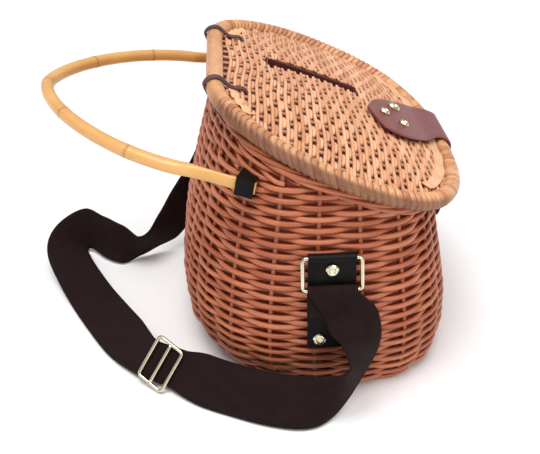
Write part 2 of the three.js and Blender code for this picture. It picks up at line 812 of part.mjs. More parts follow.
function latchCap() {
  const { middle, out } = latchFastening();
  const mesh = named('latch_cap', studHead(latchCapDiameter, latchCapHeight), materials.metal);
  mesh.position.copy(middle).addScaledVector(out, latchThickness / 2 + clearance);
  mesh.quaternion.setFromUnitVectors(new THREE.Vector3(0, 0, 1), out);
  return mesh;
}

function toWorld(vector) {
  return vector.clone().applyAxisAngle(new THREE.Vector3(1, 0, 0), slope);
}

function latchSocket() {
  const { middle, out } = latchFastening();
  const outWorld = toWorld(out);
  const place = toWorld(middle).add(new THREE.Vector3(0, hingeY, hingeHeight));
  place.addScaledVector(outWorld, -(latchThickness / 2 + clearance));
  const seat = bodyFrontY(place.z) - clearance;
  const reach = (seat - place.y) / -outWorld.y - latchSocketDiameter * 0.12;
  const mesh = named('latch_socket', disc(latchSocketDiameter, reach), materials.metal);
  mesh.position.copy(place).addScaledVector(outWorld, -reach);
  mesh.quaternion.setFromUnitVectors(new THREE.Vector3(0, 0, 1), outWorld);
  return mesh;
}

// Side tab in the XZ plane on the +X side: it follows the wall, with a fold at its top round
// the ring's upper bar.
const tabFold = ringWire / 2 + clearance + tabThickness / 2;

function tabBar() {
  const z = tabTop - tabFold;
  return new THREE.Vector3(wallX(z) + clearance + tabFold, tabY, z);
}

function wallX(z) {
  return bodyHalfWidth(widestLine, z);
}

function sideTab(side) {
  const bar = tabBar();
  const inner = [];
  const outer = [];
  const steps = 6;
  const top = bar.z - tabFold;
  for (let i = 0; i <= steps; i++) {
    const z = mix(tabBottom, top, i / steps);
    inner.push(new THREE.Vector2(wallX(z) + clearance, z));
    outer.push(new THREE.Vector2(wallX(z) + clearance + tabThickness, z));
  }
  const fold = [];
  for (let i = 1; i <= 8; i++) {
    const a = mix(-0.3 * Math.PI, Math.PI, i / 8);
    fold.push(new THREE.Vector2(bar.x + tabFold * Math.cos(a), bar.z + tabFold * Math.sin(a)));
  }
  const hole = Array.from({ length: 10 }, (_, k) => {
    const a = -(k / 10) * 2 * Math.PI;
    const r = ringWire / 2 + clearance;
    return new THREE.Vector2(bar.x + r * Math.cos(a), bar.z + r * Math.sin(a));
  });
  const tab = standInXZ(extrude([...outer, ...fold, ...inner.reverse()], hole, tabWidth));
  tab.translate(0, tabY, 0);
  if (side > 0) return facingOut(tab);
  tab.scale(-1, 1, 1);
  return facingOut(tab);
}

// The wire ring, a rounded rectangle that hangs from the tab and leans off the wall.
const ringHalf = (strapWidth * strapBunching) / 2 + clearance + ringCorner;

function ringLine() {
  const bar = tabBar();
  const lean = THREE.MathUtils.degToRad(ringLean);
  const half = ringHalf;
  const corner = ringCorner;
  const flat = [];
  for (const [sy, sz, from] of [[1, 0, 0], [-1, 0, 0.5], [-1, -1, 1], [1, -1, 1.5]]) {
    const cy = sy * (half - corner);
    const cz = sz === 0 ? -corner : -ringDrop + corner;
    for (let i = 0; i <= 3; i++) {
      const a = (from + (i / 3) * 0.5) * Math.PI;
      flat.push([cy + corner * Math.cos(a), cz + corner * Math.sin(a)]);
    }
  }
  return flat.map(
    ([y, down]) =>
      new THREE.Vector3(bar.x - down * Math.sin(lean), bar.y + y, bar.z + down * Math.cos(lean)),
  );
}

function strapRing(side) {
  const lean = THREE.MathUtils.degToRad(ringLean);
  const normal = new THREE.Vector3(Math.cos(lean), 0, Math.sin(lean));
  const ring = loopTube(ringLine(), ringWire / 2, normal, 6);
  if (side < 0) ring.scale(-1, 1, 1);
  return facingOut(ring);
}

function tabRivet(side, rivet) {
  const z = tabBottom + rivet.height * (tabTop - tabBottom);
  const name = `${side < 0 ? 'near' : 'far'}_rivet_${rivet.name}`;
  const mesh = named(name, studHead(rivetDiameter, rivetHeight), materials.metal);
  const slack = Math.abs(wallX(z + rivetDiameter / 2) - wallX(z - rivetDiameter / 2)) / 2;
  const x = wallX(z) + 2 * clearance + tabThickness + slack;
  mesh.position.set(side * x, tabY + rivet.side * tabWidth, z);
  mesh.rotation.y = (side * Math.PI) / 2;
  return mesh;
}

// The lower bar of a ring, and the strap's loop round it.
function lowerBar(side) {
  const bar = tabBar();
  const lean = THREE.MathUtils.degToRad(ringLean);
  return new THREE.Vector3(
    side * (bar.x + ringDrop * Math.sin(lean)),
    bar.y,
    bar.z - ringDrop * Math.cos(lean),
  );
}

function strapLoop(side) {
  const bar = lowerBar(side);
  const r = ringWire / 2 + clearance + strapThickness / 2;
  const lean = THREE.MathUtils.degToRad(ringLean);
  const rows = [];
  for (const t of [1, 0.5]) {
    rows.push([-r + t * (r - strapThickness / 2 - clearance), -t * strapTail]);
  }
  for (let i = 0; i <= 6; i++) {
    const a = mix(Math.PI, 0, i / 6);
    rows.push([r * Math.cos(a), r * Math.sin(a)]);
  }
  return rows.map(([out, up]) => ({
    point: new THREE.Vector3(
      bar.x + side * (out * Math.cos(lean) - up * Math.sin(lean) * 0.2),
      bar.y,
      bar.z + up * Math.cos(lean * 0.2) + out * Math.sin(lean) * 0.2,
    ),
    across: new THREE.Vector3(0, -side, 0),
  }));
}

// Every station of the strap: the loop on the near ring, the route, and the loop on the far ring.
function strapStations() {
  const route = strapRoute.map((row) => {
    const tilt = THREE.MathUtils.degToRad(row.tilt);
    const heading = THREE.MathUtils.degToRad(row.heading);
    return {
      point: new THREE.Vector3(
        (row.side * bodyWidth) / 2,
        (row.depth * bodyDepth) / 2,
        row.height * strapWidth,
      ),
      across: new THREE.Vector3(
        Math.cos(tilt) * Math.cos(heading),
        Math.cos(tilt) * Math.sin(heading),
        Math.sin(tilt),
      ),
    };
  });
  return [...strapLoop(-1), ...route, ...strapLoop(1).reverse()];
}

function strapCurves() {
  const stations = strapStations();
  return {
    line: new THREE.CatmullRomCurve3(stations.map((s) => s.point), false, 'centripetal'),
    across: new THREE.CatmullRomCurve3(stations.map((s) => s.across), false, 'centripetal'),
    count: stations.length,
  };
}

// The strap's middle, its direction and the direction across it, t of the way along.
function strapFrame({ line, across, count }, t) {
  const point = line.getPoint(t);
  const along = line.getTangent(t).normalize();
  const wide = across.getPoint(t).normalize();
  const normal = along.clone().cross(wide).normalize();
  const fromEnd = Math.min(t, 1 - t) * (count - 1);
  const fromSlide = Math.abs(t - slideAt) * (count - 1);
  const inRing = mix(strapBunching, 1, THREE.MathUtils.smoothstep(fromEnd, 8, 11));
  const inSlide = mix(slideGather, 1, THREE.MathUtils.smoothstep(fromSlide, 1, 3));
  const width = strapWidth * inRing * inSlide;
  return { point, along, wide, normal, width };
}

function shoulderStrap() {
  const curves = strapCurves();
  const steps = (curves.count - 1) * 3;
  const rings = [];
  for (let i = 0; i <= steps; i++) {
    const { point, wide, normal, width } = strapFrame(curves, i / steps);
    rings.push(
      [[-1, -1], [1, -1], [1, 1], [-1, 1]].map(([w, n]) =>
        point
          .clone()
          .addScaledVector(wide, (w * width) / 2)
          .addScaledVector(normal, (n * strapThickness) / 2),
      ),
    );
  }
  return ringSolid(rings);
}

// The slide is a wire frame with a middle bar on the strap's outer face, as wide as the strap in it.
function slideBuckle() {
  const curves = strapCurves();
  const { point, along, wide: across, normal } = strapFrame(curves, slideAt);
  const wide = normal.clone().cross(along);
  if (wide.dot(across) < 0) wide.negate();
  const off = -(strapThickness / 2 + 3 * clearance + slideWire / 2);
  const half = (strapWidth * slideGather) / 2 + clearance + slideWire / 2;
  const skew = THREE.MathUtils.degToRad(slideSkew);
  const length = along.clone().multiplyScalar(Math.cos(skew)).addScaledVector(wide, Math.sin(skew));
  const width = wide.clone().multiplyScalar(Math.cos(skew)).addScaledVector(along, -Math.sin(skew));
  const place = (a, w, n) =>
    point.clone().addScaledVector(length, a).addScaledVector(width, w).addScaledVector(normal, n);
  const corner = ringCorner;
  const flat = [];
  for (const [sa, sw, from] of [[1, 1, 0], [-1, 1, 0.5], [-1, -1, 1], [1, -1, 1.5]]) {
    for (let i = 0; i <= 3; i++) {
      const angle = (from + (i / 3) * 0.5) * Math.PI;
      flat.push([
        sa * (slideLength / 2 - corner) + corner * Math.cos(angle),
        sw * (half - corner) + corner * Math.sin(angle),
      ]);
    }
  }
  const frame = loopTube(flat.map(([a, w]) => place(a, w, off)), slideWire / 2, normal, 6);
  const ends = [place(0, -half, off), place(0, half, off)];
  const bar = mergedOnly(
    new THREE.ExtrudeGeometry(
      new THREE.Shape(Array.from({ length: 6 }, (_, k) => {
        const a = (k / 6) * 2 * Math.PI;
        return new THREE.Vector2((slideWire / 2) * Math.cos(a), (slideWire / 2) * Math.sin(a));
      })),
      { extrudePath: new THREE.LineCurve3(...ends), steps: 1, bevelEnabled: false },
    ),
  );
  return toGeometry(toSolid(frame).add(toSolid(bar)));
}

function buildBasket() {
  const basket = new THREE.Group();
  basket.add(named('basket_wall', basketWall(), materials.wicker));
  basket.add(named('basket_border', basketBorder(), materials.rim));
  basket.add(named('handle_hoop', handleHoop(), materials.cane));
  for (const [side, label] of [[-1, 'near'], [1, 'far']]) {
    basket.add(named(`${label}_hinge_tie`, hingeTie((side * tieSpacing) / 2), materials.cord));
    basket.add(named(`${label}_handle_lashing`, lashingBand(side, 0, lashingThickness), materials.brownLeather));
    basket.add(named(`${label}_side_tab`, sideTab(side), materials.blackLeather));
    basket.add(named(`${label}_strap_ring`, strapRing(side), materials.metal));
    for (const rivet of tabRivets) basket.add(tabRivet(side, rivet));
  }
  basket.add(latchSocket());
  basket.add(named('shoulder_strap', shoulderStrap(), materials.webbing));
  basket.add(named('slide_buckle', slideBuckle(), materials.metal));
  return basket;
}

function buildLid() {
  const lid = new THREE.Group();
  lid.position.set(0, hingeY, hingeHeight);
  lid.rotation.x = slope;
  lid.add(named('lid_rim', lidRim(), materials.rim));
  lid.add(named('lid_panel', lidPanel(), materials.lidWicker));
  lid.add(named('slot_trim', slotTrim(), materials.brownLeather));
  lid.add(named('latch_strap', latchStrap(), materials.brownLeather));
  lid.add(latchCap());
  for (const stud of latchStuds) lid.add(latchStud(stud));
  lid.add(named('near_hinge_tail', hingeTail(-1), materials.cord));
  lid.add(named('far_hinge_tail', hingeTail(1), materials.cord));
  return lid;
}

const creel = new THREE.Group();
creel.name = 'fishing_creel_bag';
creel.add(buildBasket(), buildLid());

export default creel;
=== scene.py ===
import bpy
import math
import numpy as np
from mathutils import Matrix, Vector


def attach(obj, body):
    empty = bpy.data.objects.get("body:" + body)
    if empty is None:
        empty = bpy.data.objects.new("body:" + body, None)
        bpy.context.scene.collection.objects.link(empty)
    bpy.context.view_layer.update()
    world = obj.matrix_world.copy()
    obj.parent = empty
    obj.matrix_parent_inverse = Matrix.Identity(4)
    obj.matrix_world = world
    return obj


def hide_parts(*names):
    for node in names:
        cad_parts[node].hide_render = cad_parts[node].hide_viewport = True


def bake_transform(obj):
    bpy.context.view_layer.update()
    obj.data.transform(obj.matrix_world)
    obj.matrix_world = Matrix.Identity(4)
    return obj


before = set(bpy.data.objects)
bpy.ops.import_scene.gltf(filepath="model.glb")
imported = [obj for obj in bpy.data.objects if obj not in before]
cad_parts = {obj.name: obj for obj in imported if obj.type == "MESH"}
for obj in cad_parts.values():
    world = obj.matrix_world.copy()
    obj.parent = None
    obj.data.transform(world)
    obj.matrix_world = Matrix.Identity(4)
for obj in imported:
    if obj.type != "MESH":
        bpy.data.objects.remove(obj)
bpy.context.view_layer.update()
dice = np.random.default_rng(11)
scene = bpy.context.scene
scene.view_settings.view_transform = "Standard"


def unit(v):
    return v / np.maximum(np.linalg.norm(v, axis=-1, keepdims=True), 1e-9)


def signedPower(value, exponent):  # keeps the sign, raises the size
    return np.sign(value) * np.abs(value) ** exponent


def smooth(t, low, high):  # 0 below low, 1 above high, eased between
    t = np.clip((t - low) / (high - low), 0, 1)
    return t * t * (3 - 2 * t)


def wander(t, rows, size, waves=(1.0, 2.3, 4.1)):
    # slow random wandering: a few sines of t, each row with its own phases
    total = 0
    for wave in waves:
        phase = dice.uniform(0, 2 * np.pi, (rows, 1))
        total = total + np.sin(2 * np.pi * wave * t + phase) / wave**0.5
    return size * total / len(waves)


def facedOut(points, faces):
    # a closed part whose signed volume is negative is inside out, so its faces are turned round
    p, volume = points.reshape(-1, 3), 0
    for f in faces:
        for k in range(1, f.shape[1] - 1):
            volume += np.einsum("ij,ij->", p[f[:, 0]], np.cross(p[f[:, k]], p[f[:, k + 1]]))
    return faces if volume > 0 else [f[:, ::-1] for f in faces]


def newMesh(name, points, faces, material, body, marks=None, stands=()):
    # points in mm, faces a list of index arrays of three, four or more corners
    mesh = bpy.data.meshes.new(name)
    points = np.asarray(points, float).reshape(-1, 3) * 0.001
    faces = facedOut(points, faces)
    corners = np.concatenate([f.reshape(-1) for f in faces]).astype(np.int32)
    sizes = np.concatenate([np.full(len(f), f.shape[1]) for f in faces])
    mesh.vertices.add(len(points))
    mesh.vertices.foreach_set("co", points.ravel())
    mesh.loops.add(len(corners))
    mesh.loops.foreach_set("vertex_index", corners)
    mesh.polygons.add(len(sizes))
    mesh.polygons.foreach_set("loop_start", np.concatenate([[0], np.cumsum(sizes)[:-1]]).astype(np.int32))
    mesh.polygons.foreach_set("use_smooth", np.ones(len(sizes), bool))
    for key, values in (marks or {}).items():
        mark = mesh.attributes.new(key, "FLOAT", "POINT")
        mark.data.foreach_set("value", np.asarray(values, np.float32).ravel())
    mesh.update(calc_edges=True)
    mesh.validate()
    piece = bpy.data.objects.new(name, mesh)
    scene.collection.objects.link(piece)
    mesh.materials.append(material)
    if body:
        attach(piece, body)
    if stands:
        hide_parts(*stands)
    return piece


def tubes(centres, outward, wide, thick, sides, closed, square=1.0):
    # round rods: every path is an array of centres, its section an ellipse of half sizes
    # wide (along the path's flat) and thick (along outward), squarer where square is under 1
    paths, steps = centres.shape[:2]
    if closed:
        along = unit(np.roll(centres, -1, 1) - np.roll(centres, 1, 1))
    else:
        along = unit(np.gradient(centres, axis=1))
    flat = unit(np.cross(outward, along))
    out = unit(np.cross(along, flat))
    angle = (np.arange(sides) / sides * 2 * np.pi)[None, None, :]
    wide = np.broadcast_to(wide, (paths, steps))[..., None]
    thick = np.broadcast_to(thick, (paths, steps))[..., None]
    a = wide * signedPower(np.cos(angle), square)
    b = thick * signedPower(np.sin(angle), square)
    ring = centres[:, :, None] + flat[:, :, None] * a[..., None] + out[:, :, None] * b[..., None]
    index = np.arange(paths * steps * sides).reshape(paths, steps, sides)
    here = index if closed else index[:, :-1]
    there = np.roll(index, -1, 1) if closed else index[:, 1:]
    quads = np.stack([here, np.roll(here, -1, 2), np.roll(there, -1, 2), there], -1).reshape(-1, 4)
    faces = [quads]
    if not closed:
        faces += [index[:, 0, ::-1], index[:, -1]]
    length = np.cumsum(np.linalg.norm(np.diff(centres, axis=1, prepend=centres[:, :1]), axis=-1), 1)
    marks = {
        "along": np.repeat(length[..., None], sides, -1),
        "turn": np.broadcast_to(angle / (2 * np.pi), ring.shape[:3]),
        "out": np.broadcast_to(np.sin(angle), ring.shape[:3]),
    }
    return ring, faces, marks


def spread(values, sides):  # one value for each point of a path, given to its whole ring
    return np.repeat(values[..., None], sides, -1)


def gather(parts):
    # joins several results of tubes into one list of points, faces and marks
    points, faces, marks, count = [], [], {}, 0
    for ring, partFaces, partMarks in parts:
        points.append(ring.reshape(-1, 3))
        faces += [f + count for f in facedOut(ring, partFaces)]
        for key, values in partMarks.items():
            marks.setdefault(key, []).append(np.asarray(values).reshape(-1))
        count += len(points[-1])
    return np.concatenate(points), faces, {k: np.concatenate(v) for k, v in marks.items()}


def spline(points, steps):
    # centripetal Catmull-Rom through the points, with the same number of steps in each span
    p = np.concatenate([[2 * points[0] - points[1]], points, [2 * points[-1] - points[-2]]])
    span = np.maximum(np.linalg.norm(np.diff(p, axis=0), axis=1) ** 0.5, 1e-3)[:, None]
    a, b, c, d = p[:-3], p[1:-2], p[2:-1], p[3:]
    sa, sb, sc = span[:-2], span[1:-1], span[2:]
    m = ((b - a) / sa - (c - a) / (sa + sb) + (c - b) / sb) * sb
    n = ((c - b) / sb - (d - b) / (sb + sc) + (d - c) / sc) * sb
    t = (np.arange(steps) / steps)[:, None, None]
    curve = (2 * t**3 - 3 * t**2 + 1) * b + (t**3 - 2 * t**2 + t) * m
    curve = curve + (3 * t**2 - 2 * t**3) * c + (t**3 - t**2) * n
    return np.concatenate([curve.transpose(1, 0, 2).reshape(-1, points.shape[1]), points[-1:]])


def groupOf(name, inputs, outputs):
    tree = bpy.data.node_groups.new(name, "ShaderNodeTree")
    for label, kind, value in inputs:
        socket = tree.interface.new_socket(label, in_out="INPUT", socket_type=kind)
        socket.default_value = value
    for label, kind in outputs:
        tree.interface.new_socket(label, in_out="OUTPUT", socket_type=kind)
    return tree, tree.nodes.new("NodeGroupInput"), tree.nodes.new("NodeGroupOutput")


def feed(tree, socket, value):  # a link or a constant
    if isinstance(value, bpy.types.NodeSocket):
        tree.links.new(value, socket)
    else:
        socket.default_value = value


def node(tree, kind, settings=None, **inputs):
    made = tree.nodes.new("ShaderNode" + kind)
    for key, value in (settings or {}).items():
        setattr(made, key, value)
    for key, value in inputs.items():
        socket = made.inputs[int(key[1:])] if key[0] == "i" and key[1:].isdigit() else made.inputs[key]
        feed(tree, socket, value)
    return made


def sums(tree, operation, *values, clamp=False):
    made = tree.nodes.new("ShaderNodeMath")
    made.operation = operation
    made.use_clamp = clamp
    for socket, value in zip(made.inputs, values):
        feed(tree, socket, value)
    return made.outputs[0]


def blendColour(tree, factor, first, second):
    made = tree.nodes.new("ShaderNodeMix")
    made.data_type = "RGBA"
    for socket, value in zip((made.inputs[0], made.inputs[6], made.inputs[7]), (factor, first, second)):
        feed(tree, socket, value)
    return made.outputs[2]


def mark(tree, name):
    return node(tree, "Attribute", {"attribute_name": name}).outputs["Fac"]


def noise(tree, vector, scale, detail=3.0, rough=0.55):
    made = node(tree, "TexNoise", None, Vector=vector, Scale=scale, Detail=detail, Roughness=rough)
    return made.outputs["Fac"]


def ramp(tree, value, low, high):
    made = node(tree, "MapRange", {"clamp": True}, Value=value)
    made.inputs["From Min"].default_value = low
    made.inputs["From Max"].default_value = high
    return made.outputs["Result"]


def willowGrain():
    # streaks run along each rod, every rod has its own tone, and the sunk parts get painted shade in the
    # GapShade colour
    tree, ins, outs = groupOf(
        "willowGrain",
        [("Pale", "NodeSocketColor", (0.8, 0.5, 0.3, 1)), ("Deep", "NodeSocketColor", (0.5, 0.2, 0.1, 1)),
         ("GapShade", "NodeSocketColor", (0.1, 0.02, 0.01, 1)), ("Streaks", "NodeSocketFloat", 0.5),
         ("Shades", "NodeSocketFloat", 0.5), ("ShadeStrength", "NodeSocketFloat", 0.8)],
        [("Color", "NodeSocketColor"), ("Roughness", "NodeSocketFloat"), ("Height", "NodeSocketFloat")],
    )
    rod = mark(tree, "rod")
    along = mark(tree, "along")
    turn = mark(tree, "turn")
    where = node(tree, "CombineXYZ", None, X=sums(tree, "MULTIPLY", along, 0.035),
                 Y=sums(tree, "MULTIPLY", turn, 5.0), Z=sums(tree, "MULTIPLY", rod, 37.0)).outputs[0]
    streak = noise(tree, where, 2.2, 4.0, 0.6)
    slow = noise(tree, node(tree, "CombineXYZ", None, X=sums(tree, "MULTIPLY", along, 0.012),
                            Y=sums(tree, "MULTIPLY", rod, 53.0)).outputs[0], 1.6, 2.0)
    own = sums(tree, "MULTIPLY", sums(tree, "SUBTRACT", rod, 0.5), ins.outputs["Shades"])
    grain = sums(tree, "MULTIPLY", sums(tree, "SUBTRACT", streak, 0.5), ins.outputs["Streaks"])
    drift = sums(tree, "MULTIPLY", sums(tree, "SUBTRACT", slow, 0.5), 1.1)
    factor = sums(tree, "ADD", sums(tree, "ADD", sums(tree, "ADD", own, grain), drift), 0.42, clamp=True)
    base = blendColour(tree, factor, ins.outputs["Pale"], ins.outputs["Deep"])
    # painted shade: where sunk is high the colour goes towards GapShade, the dark of the shaded gaps
    sunk = sums(tree, "MULTIPLY", mark(tree, "sunk"), ins.outputs["ShadeStrength"], clamp=True)
    tree.links.new(blendColour(tree, sunk, base, ins.outputs["GapShade"]), outs.inputs["Color"])
    tree.links.new(sums(tree, "ADD", sums(tree, "MULTIPLY", streak, 0.25), 0.33), outs.inputs["Roughness"])
    tree.links.new(streak, outs.inputs["Height"])
    return tree


def leatherGrain():
    # cells and fine noise for the pores, slow noise for wear, painted shade darkening the edges, from Object
    # coordinates
    tree, ins, outs = groupOf(
        "leatherGrain",
        [("Base", "NodeSocketColor", (0.1, 0.03, 0.03, 1)), ("Worn", "NodeSocketColor", (0.2, 0.1, 0.1, 1)),
         ("Scale", "NodeSocketFloat", 1.0), ("Wear", "NodeSocketFloat", 0.5)],
        [("Color", "NodeSocketColor"), ("Roughness", "NodeSocketFloat"), ("Height", "NodeSocketFloat")],
    )
    place = node(tree, "TexCoord").outputs["Object"]
    cells = node(tree, "TexVoronoi", {"feature": "F1"}, Vector=place,
                 Scale=sums(tree, "MULTIPLY", ins.outputs["Scale"], 1400.0)).outputs["Distance"]
    fine = noise(tree, place, sums(tree, "MULTIPLY", ins.outputs["Scale"], 900.0), 3.0)
    cloud = noise(tree, place, 45.0, 3.0)
    wear = sums(tree, "MULTIPLY", ramp(tree, cloud, 0.42, 0.7), ins.outputs["Wear"])
    # painted shade: the edge mark blends the colour towards a near black
    edge = sums(tree, "MULTIPLY", mark(tree, "edge"), 0.6)
    tint = blendColour(tree, sums(tree, "ADD", wear, sums(tree, "MULTIPLY", fine, 0.15), clamp=True),
                       ins.outputs["Base"], ins.outputs["Worn"])
    shadedEdges = blendColour(tree, edge, tint, (0.012, 0.006, 0.006, 1))
    tree.links.new(shadedEdges, outs.inputs["Color"])
    tree.links.new(sums(tree, "ADD", sums(tree, "MULTIPLY", cloud, 0.25), 0.28), outs.inputs["Roughness"])
    tree.links.new(sums(tree, "ADD", cells, sums(tree, "MULTIPLY", fine, 0.6)), outs.inputs["Height"])
    return tree


willowGroup = willowGrain()
leatherGroup = leatherGrain()


def shaded(name, group, values, bump=0.3, depth=0.0004, **shader):
    # a Principled shader fed by one of the groups, with a bump from its height
    material = bpy.data.materials.new(name)
    material.use_nodes = True
    tree = material.node_tree
    skin = tree.nodes["Principled BSDF"]
    for key, value in shader.items():
        skin.inputs[key.replace("_", " ")].default_value = value
    made = tree.nodes.new("ShaderNodeGroup")
    made.node_tree = group
    for key, value in values.items():
        made.inputs[key].default_value = value
    tree.links.new(made.outputs["Color"], skin.inputs["Base Color"])
    tree.links.new(made.outputs["Roughness"], skin.inputs["Roughness"])
    relief = node(tree, "Bump", None, Height=made.outputs["Height"])
    relief.inputs["Strength"].default_value = bump
    relief.inputs["Distance"].default_value = depth
    tree.links.new(relief.outputs[0], skin.inputs["Normal"])
    return material


# GapShade in each palette is painted shade, the dark of the gaps between rods; ShadeStrength sets how far it
# goes
willow = {
    "wall": {"Pale": (0.56, 0.175, 0.075, 1), "Deep": (0.33, 0.066, 0.018, 1), "GapShade": (0.17, 0.018, 0.002, 1),
             "Streaks": 0.7, "Shades": 0.75, "ShadeStrength": 0.85},
    "lid": {"Pale": (0.90, 0.50, 0.29, 1), "Deep": (0.62, 0.25, 0.11, 1), "GapShade": (0.09, 0.013, 0.003, 1),
            "Streaks": 0.7, "Shades": 0.8, "ShadeStrength": 1.0},
    "rim": {"Pale": (0.82, 0.43, 0.20, 1), "Deep": (0.45, 0.15, 0.055, 1), "GapShade": (0.10, 0.014, 0.003, 1),
            "Streaks": 1.0, "Shades": 0.8, "ShadeStrength": 1.0},
    "cane": {"Pale": (0.85, 0.47, 0.15, 1), "Deep": (0.60, 0.25, 0.05, 1), "GapShade": (0.12, 0.03, 0.01, 1),
             "Streaks": 0.7, "Shades": 0.3, "ShadeStrength": 0.9},
    "strip": {"Pale": (0.90, 0.55, 0.32, 1), "Deep": (0.68, 0.32, 0.14, 1), "GapShade": (0.12, 0.03, 0.01, 1),
              "Streaks": 0.8, "Shades": 0.5, "ShadeStrength": 0.9},
}
willowFinish = {  # palette, bump, its depth, coat and coat roughness
    "wallWillow": ("wall", 0.4, 0.0005, 0.15, 0.3), "lidWillow": ("lid", 0.35, 0.0004, 0.15, 0.3),
    "rimWillow": ("rim", 0.5, 0.0006, 0.2, 0.3), "handleCane": ("cane", 0.3, 0.0004, 0.45, 0.2),
    "stripCane": ("strip", 0.4, 0.0005, 0.25, 0.25),
}
wallWillow, lidWillow, rimWillow, handleCane, stripCane = (
    shaded(name, willowGroup, willow[palette], bump, depth, Coat_Weight=coat, Coat_Roughness=gloss)
    for name, (palette, bump, depth, coat, gloss) in willowFinish.items())
leather = {
    "brown": {"Base": (0.225, 0.042, 0.040, 1), "Worn": (0.33, 0.085, 0.080, 1), "Scale": 1.0, "Wear": 0.7},
    "black": {"Base": (0.004, 0.003, 0.003, 1), "Worn": (0.012, 0.009, 0.009, 1), "Scale": 0.8, "Wear": 0.6},
    "cord": {"Base": (0.075, 0.026, 0.034, 1), "Worn": (0.17, 0.08, 0.09, 1), "Scale": 2.0, "Wear": 0.7},
}
brownLeather = shaded("brownLeather", leatherGroup, leather["brown"], 0.35, 0.0003,
                      Coat_Weight=0.1, Coat_Roughness=0.35)
blackLeather = shaded("blackLeather", leatherGroup, leather["black"], 0.4, 0.0003, Specular_IOR_Level=0.1)
cordLeather = shaded("cordLeather", leatherGroup, leather["cord"], 0.4, 0.0003)


def metalFinish(name, tint):
    # plated wire: a pale gold, cloudy in tone and roughness
    material = bpy.data.materials.new(name)
    material.use_nodes = True
    tree = material.node_tree
    skin = tree.nodes["Principled BSDF"]
    skin.inputs["Metallic"].default_value = 1.0
    place = node(tree, "TexCoord").outputs["Object"]
    cloud = noise(tree, place, 160.0, 4.0)
    shade = blendColour(tree, ramp(tree, cloud, 0.35, 0.75), tint, tuple(c * 0.72 for c in tint[:3]) + (1,))
    tree.links.new(shade, skin.inputs["Base Color"])
    tree.links.new(sums(tree, "ADD", sums(tree, "MULTIPLY", cloud, 0.22), 0.08), skin.inputs["Roughness"])
    return material


paleGold = metalFinish("paleGold", (0.83, 0.76, 0.55, 1))


def webbingFinish():
    # ribs across the strap every 1.3 mm, a finer twill along it, and slow wear
    material = bpy.data.materials.new("brownWebbing")
    material.use_nodes = True
    tree = material.node_tree
    skin = tree.nodes["Principled BSDF"]
    skin.inputs["Specular IOR Level"].default_value = 0.07
    skin.inputs["Sheen Weight"].default_value = 0.04
    skin.inputs["Sheen Roughness"].default_value = 0.45
    skin.inputs["Sheen Tint"].default_value = (0.5, 0.32, 0.34, 1)
    along, across = mark(tree, "along"), mark(tree, "across")
    rib = sums(tree, "SINE", sums(tree, "MULTIPLY", along, 2 * math.pi / 1.3))
    twill = sums(tree, "SINE", sums(tree, "MULTIPLY", across, 2 * math.pi / 1.0))
    weave = sums(tree, "MULTIPLY", rib, sums(tree, "ADD", sums(tree, "MULTIPLY", twill, 0.5), 0.7))
    spot = node(tree, "CombineXYZ", None, X=sums(tree, "MULTIPLY", along, 0.05),
                Y=sums(tree, "MULTIPLY", across, 0.12)).outputs[0]
    cloud = noise(tree, spot, 1.0, 4.0)
    shade = sums(tree, "ADD", sums(tree, "MULTIPLY", weave, 0.22), cloud, clamp=True)
    tint = blendColour(tree, shade, (0.009, 0.0042, 0.0042, 1), (0.024, 0.0110, 0.0110, 1))
    tree.links.new(tint, skin.inputs["Base Color"])
    tree.links.new(sums(tree, "ADD", sums(tree, "MULTIPLY", cloud, 0.2), 0.62), skin.inputs["Roughness"])
    relief = node(tree, "Bump", None, Height=weave)
    relief.inputs["Strength"].default_value = 0.5
    relief.inputs["Distance"].default_value = 0.0003
    tree.links.new(relief.outputs[0], skin.inputs["Normal"])
    return material


brownWebbing = webbingFinish()
print("materials ready")

body = {
    "width": 328, "depth": 231, "widest": 8, "frontPower": 3.1, "backPower": 2.6, "wall": 8,
    "height": 234.4, "hingeY": 91.5, "slope": math.radians(23.3),
    "shares": np.array([  # height, width, front and back reach
        [0.0, 0.872, 0.45, 0.34], [0.026, 0.905, 0.465, 0.4], [0.064, 0.93, 0.477, 0.463],
        [0.128, 0.957, 0.485, 0.511], [0.256, 0.991, 0.478, 0.519], [0.427, 1.0, 0.446, 0.498],
        [0.64, 0.982, 0.405, 0.448], [0.853, 0.96, 0.364, 0.39], [1.08, 0.935, 0.32, 0.33]]),
}
weave = {
    "stakes": 26, "phase": 0.726, "stakeRadius": 1.9, "stakeBottom": 2.0, "stakeTop": -12.0,
    "rodRadius": 2.0, "rodHigh": 1.14, "rodDeep": 0.95, "ripple": 0.09, "ripples": (2, 5, 11), "swing": 2.1,
    "pitch": 4.47, "firstRow": 2.7, "floorGap": 0.15, "closedTop": 134.0, "levelTop": 189.0,
    "slopedPitch": 4.1, "slopedSize": 0.95, "slopedRipple": 0.08, "roofDrop": 16.6,
    "stepsPerStake": 8, "sides": 7,
}
border = {"strands": 4, "radius": 2.0, "twist": 2.45, "turns": 7, "steps": 540, "below": -11.8}
tanSlope, cosSlope, sinSlope = (f(body["slope"]) for f in (math.tan, math.cos, math.sin))


def bodyPoint(angle, z, inset=0.0):
    # the plan at a height: half a superellipse before the widest line, half behind it
    shares = body["shares"]
    share = z / body["height"]
    width, front, back = (np.interp(share, shares[:, 0], shares[:, i]) for i in (1, 2, 3))
    c, s = np.cos(angle), np.sin(angle)
    power = np.where(s >= 0, body["backPower"], body["frontPower"])
    reach = np.where(s >= 0, back, front) * body["depth"] - inset
    x = (width * body["width"] / 2 - inset) * signedPower(c, 2 / power)
    y = body["widest"] + reach * signedPower(s, 2 / power)
    return np.stack([x, y, z + 0 * angle], -1)


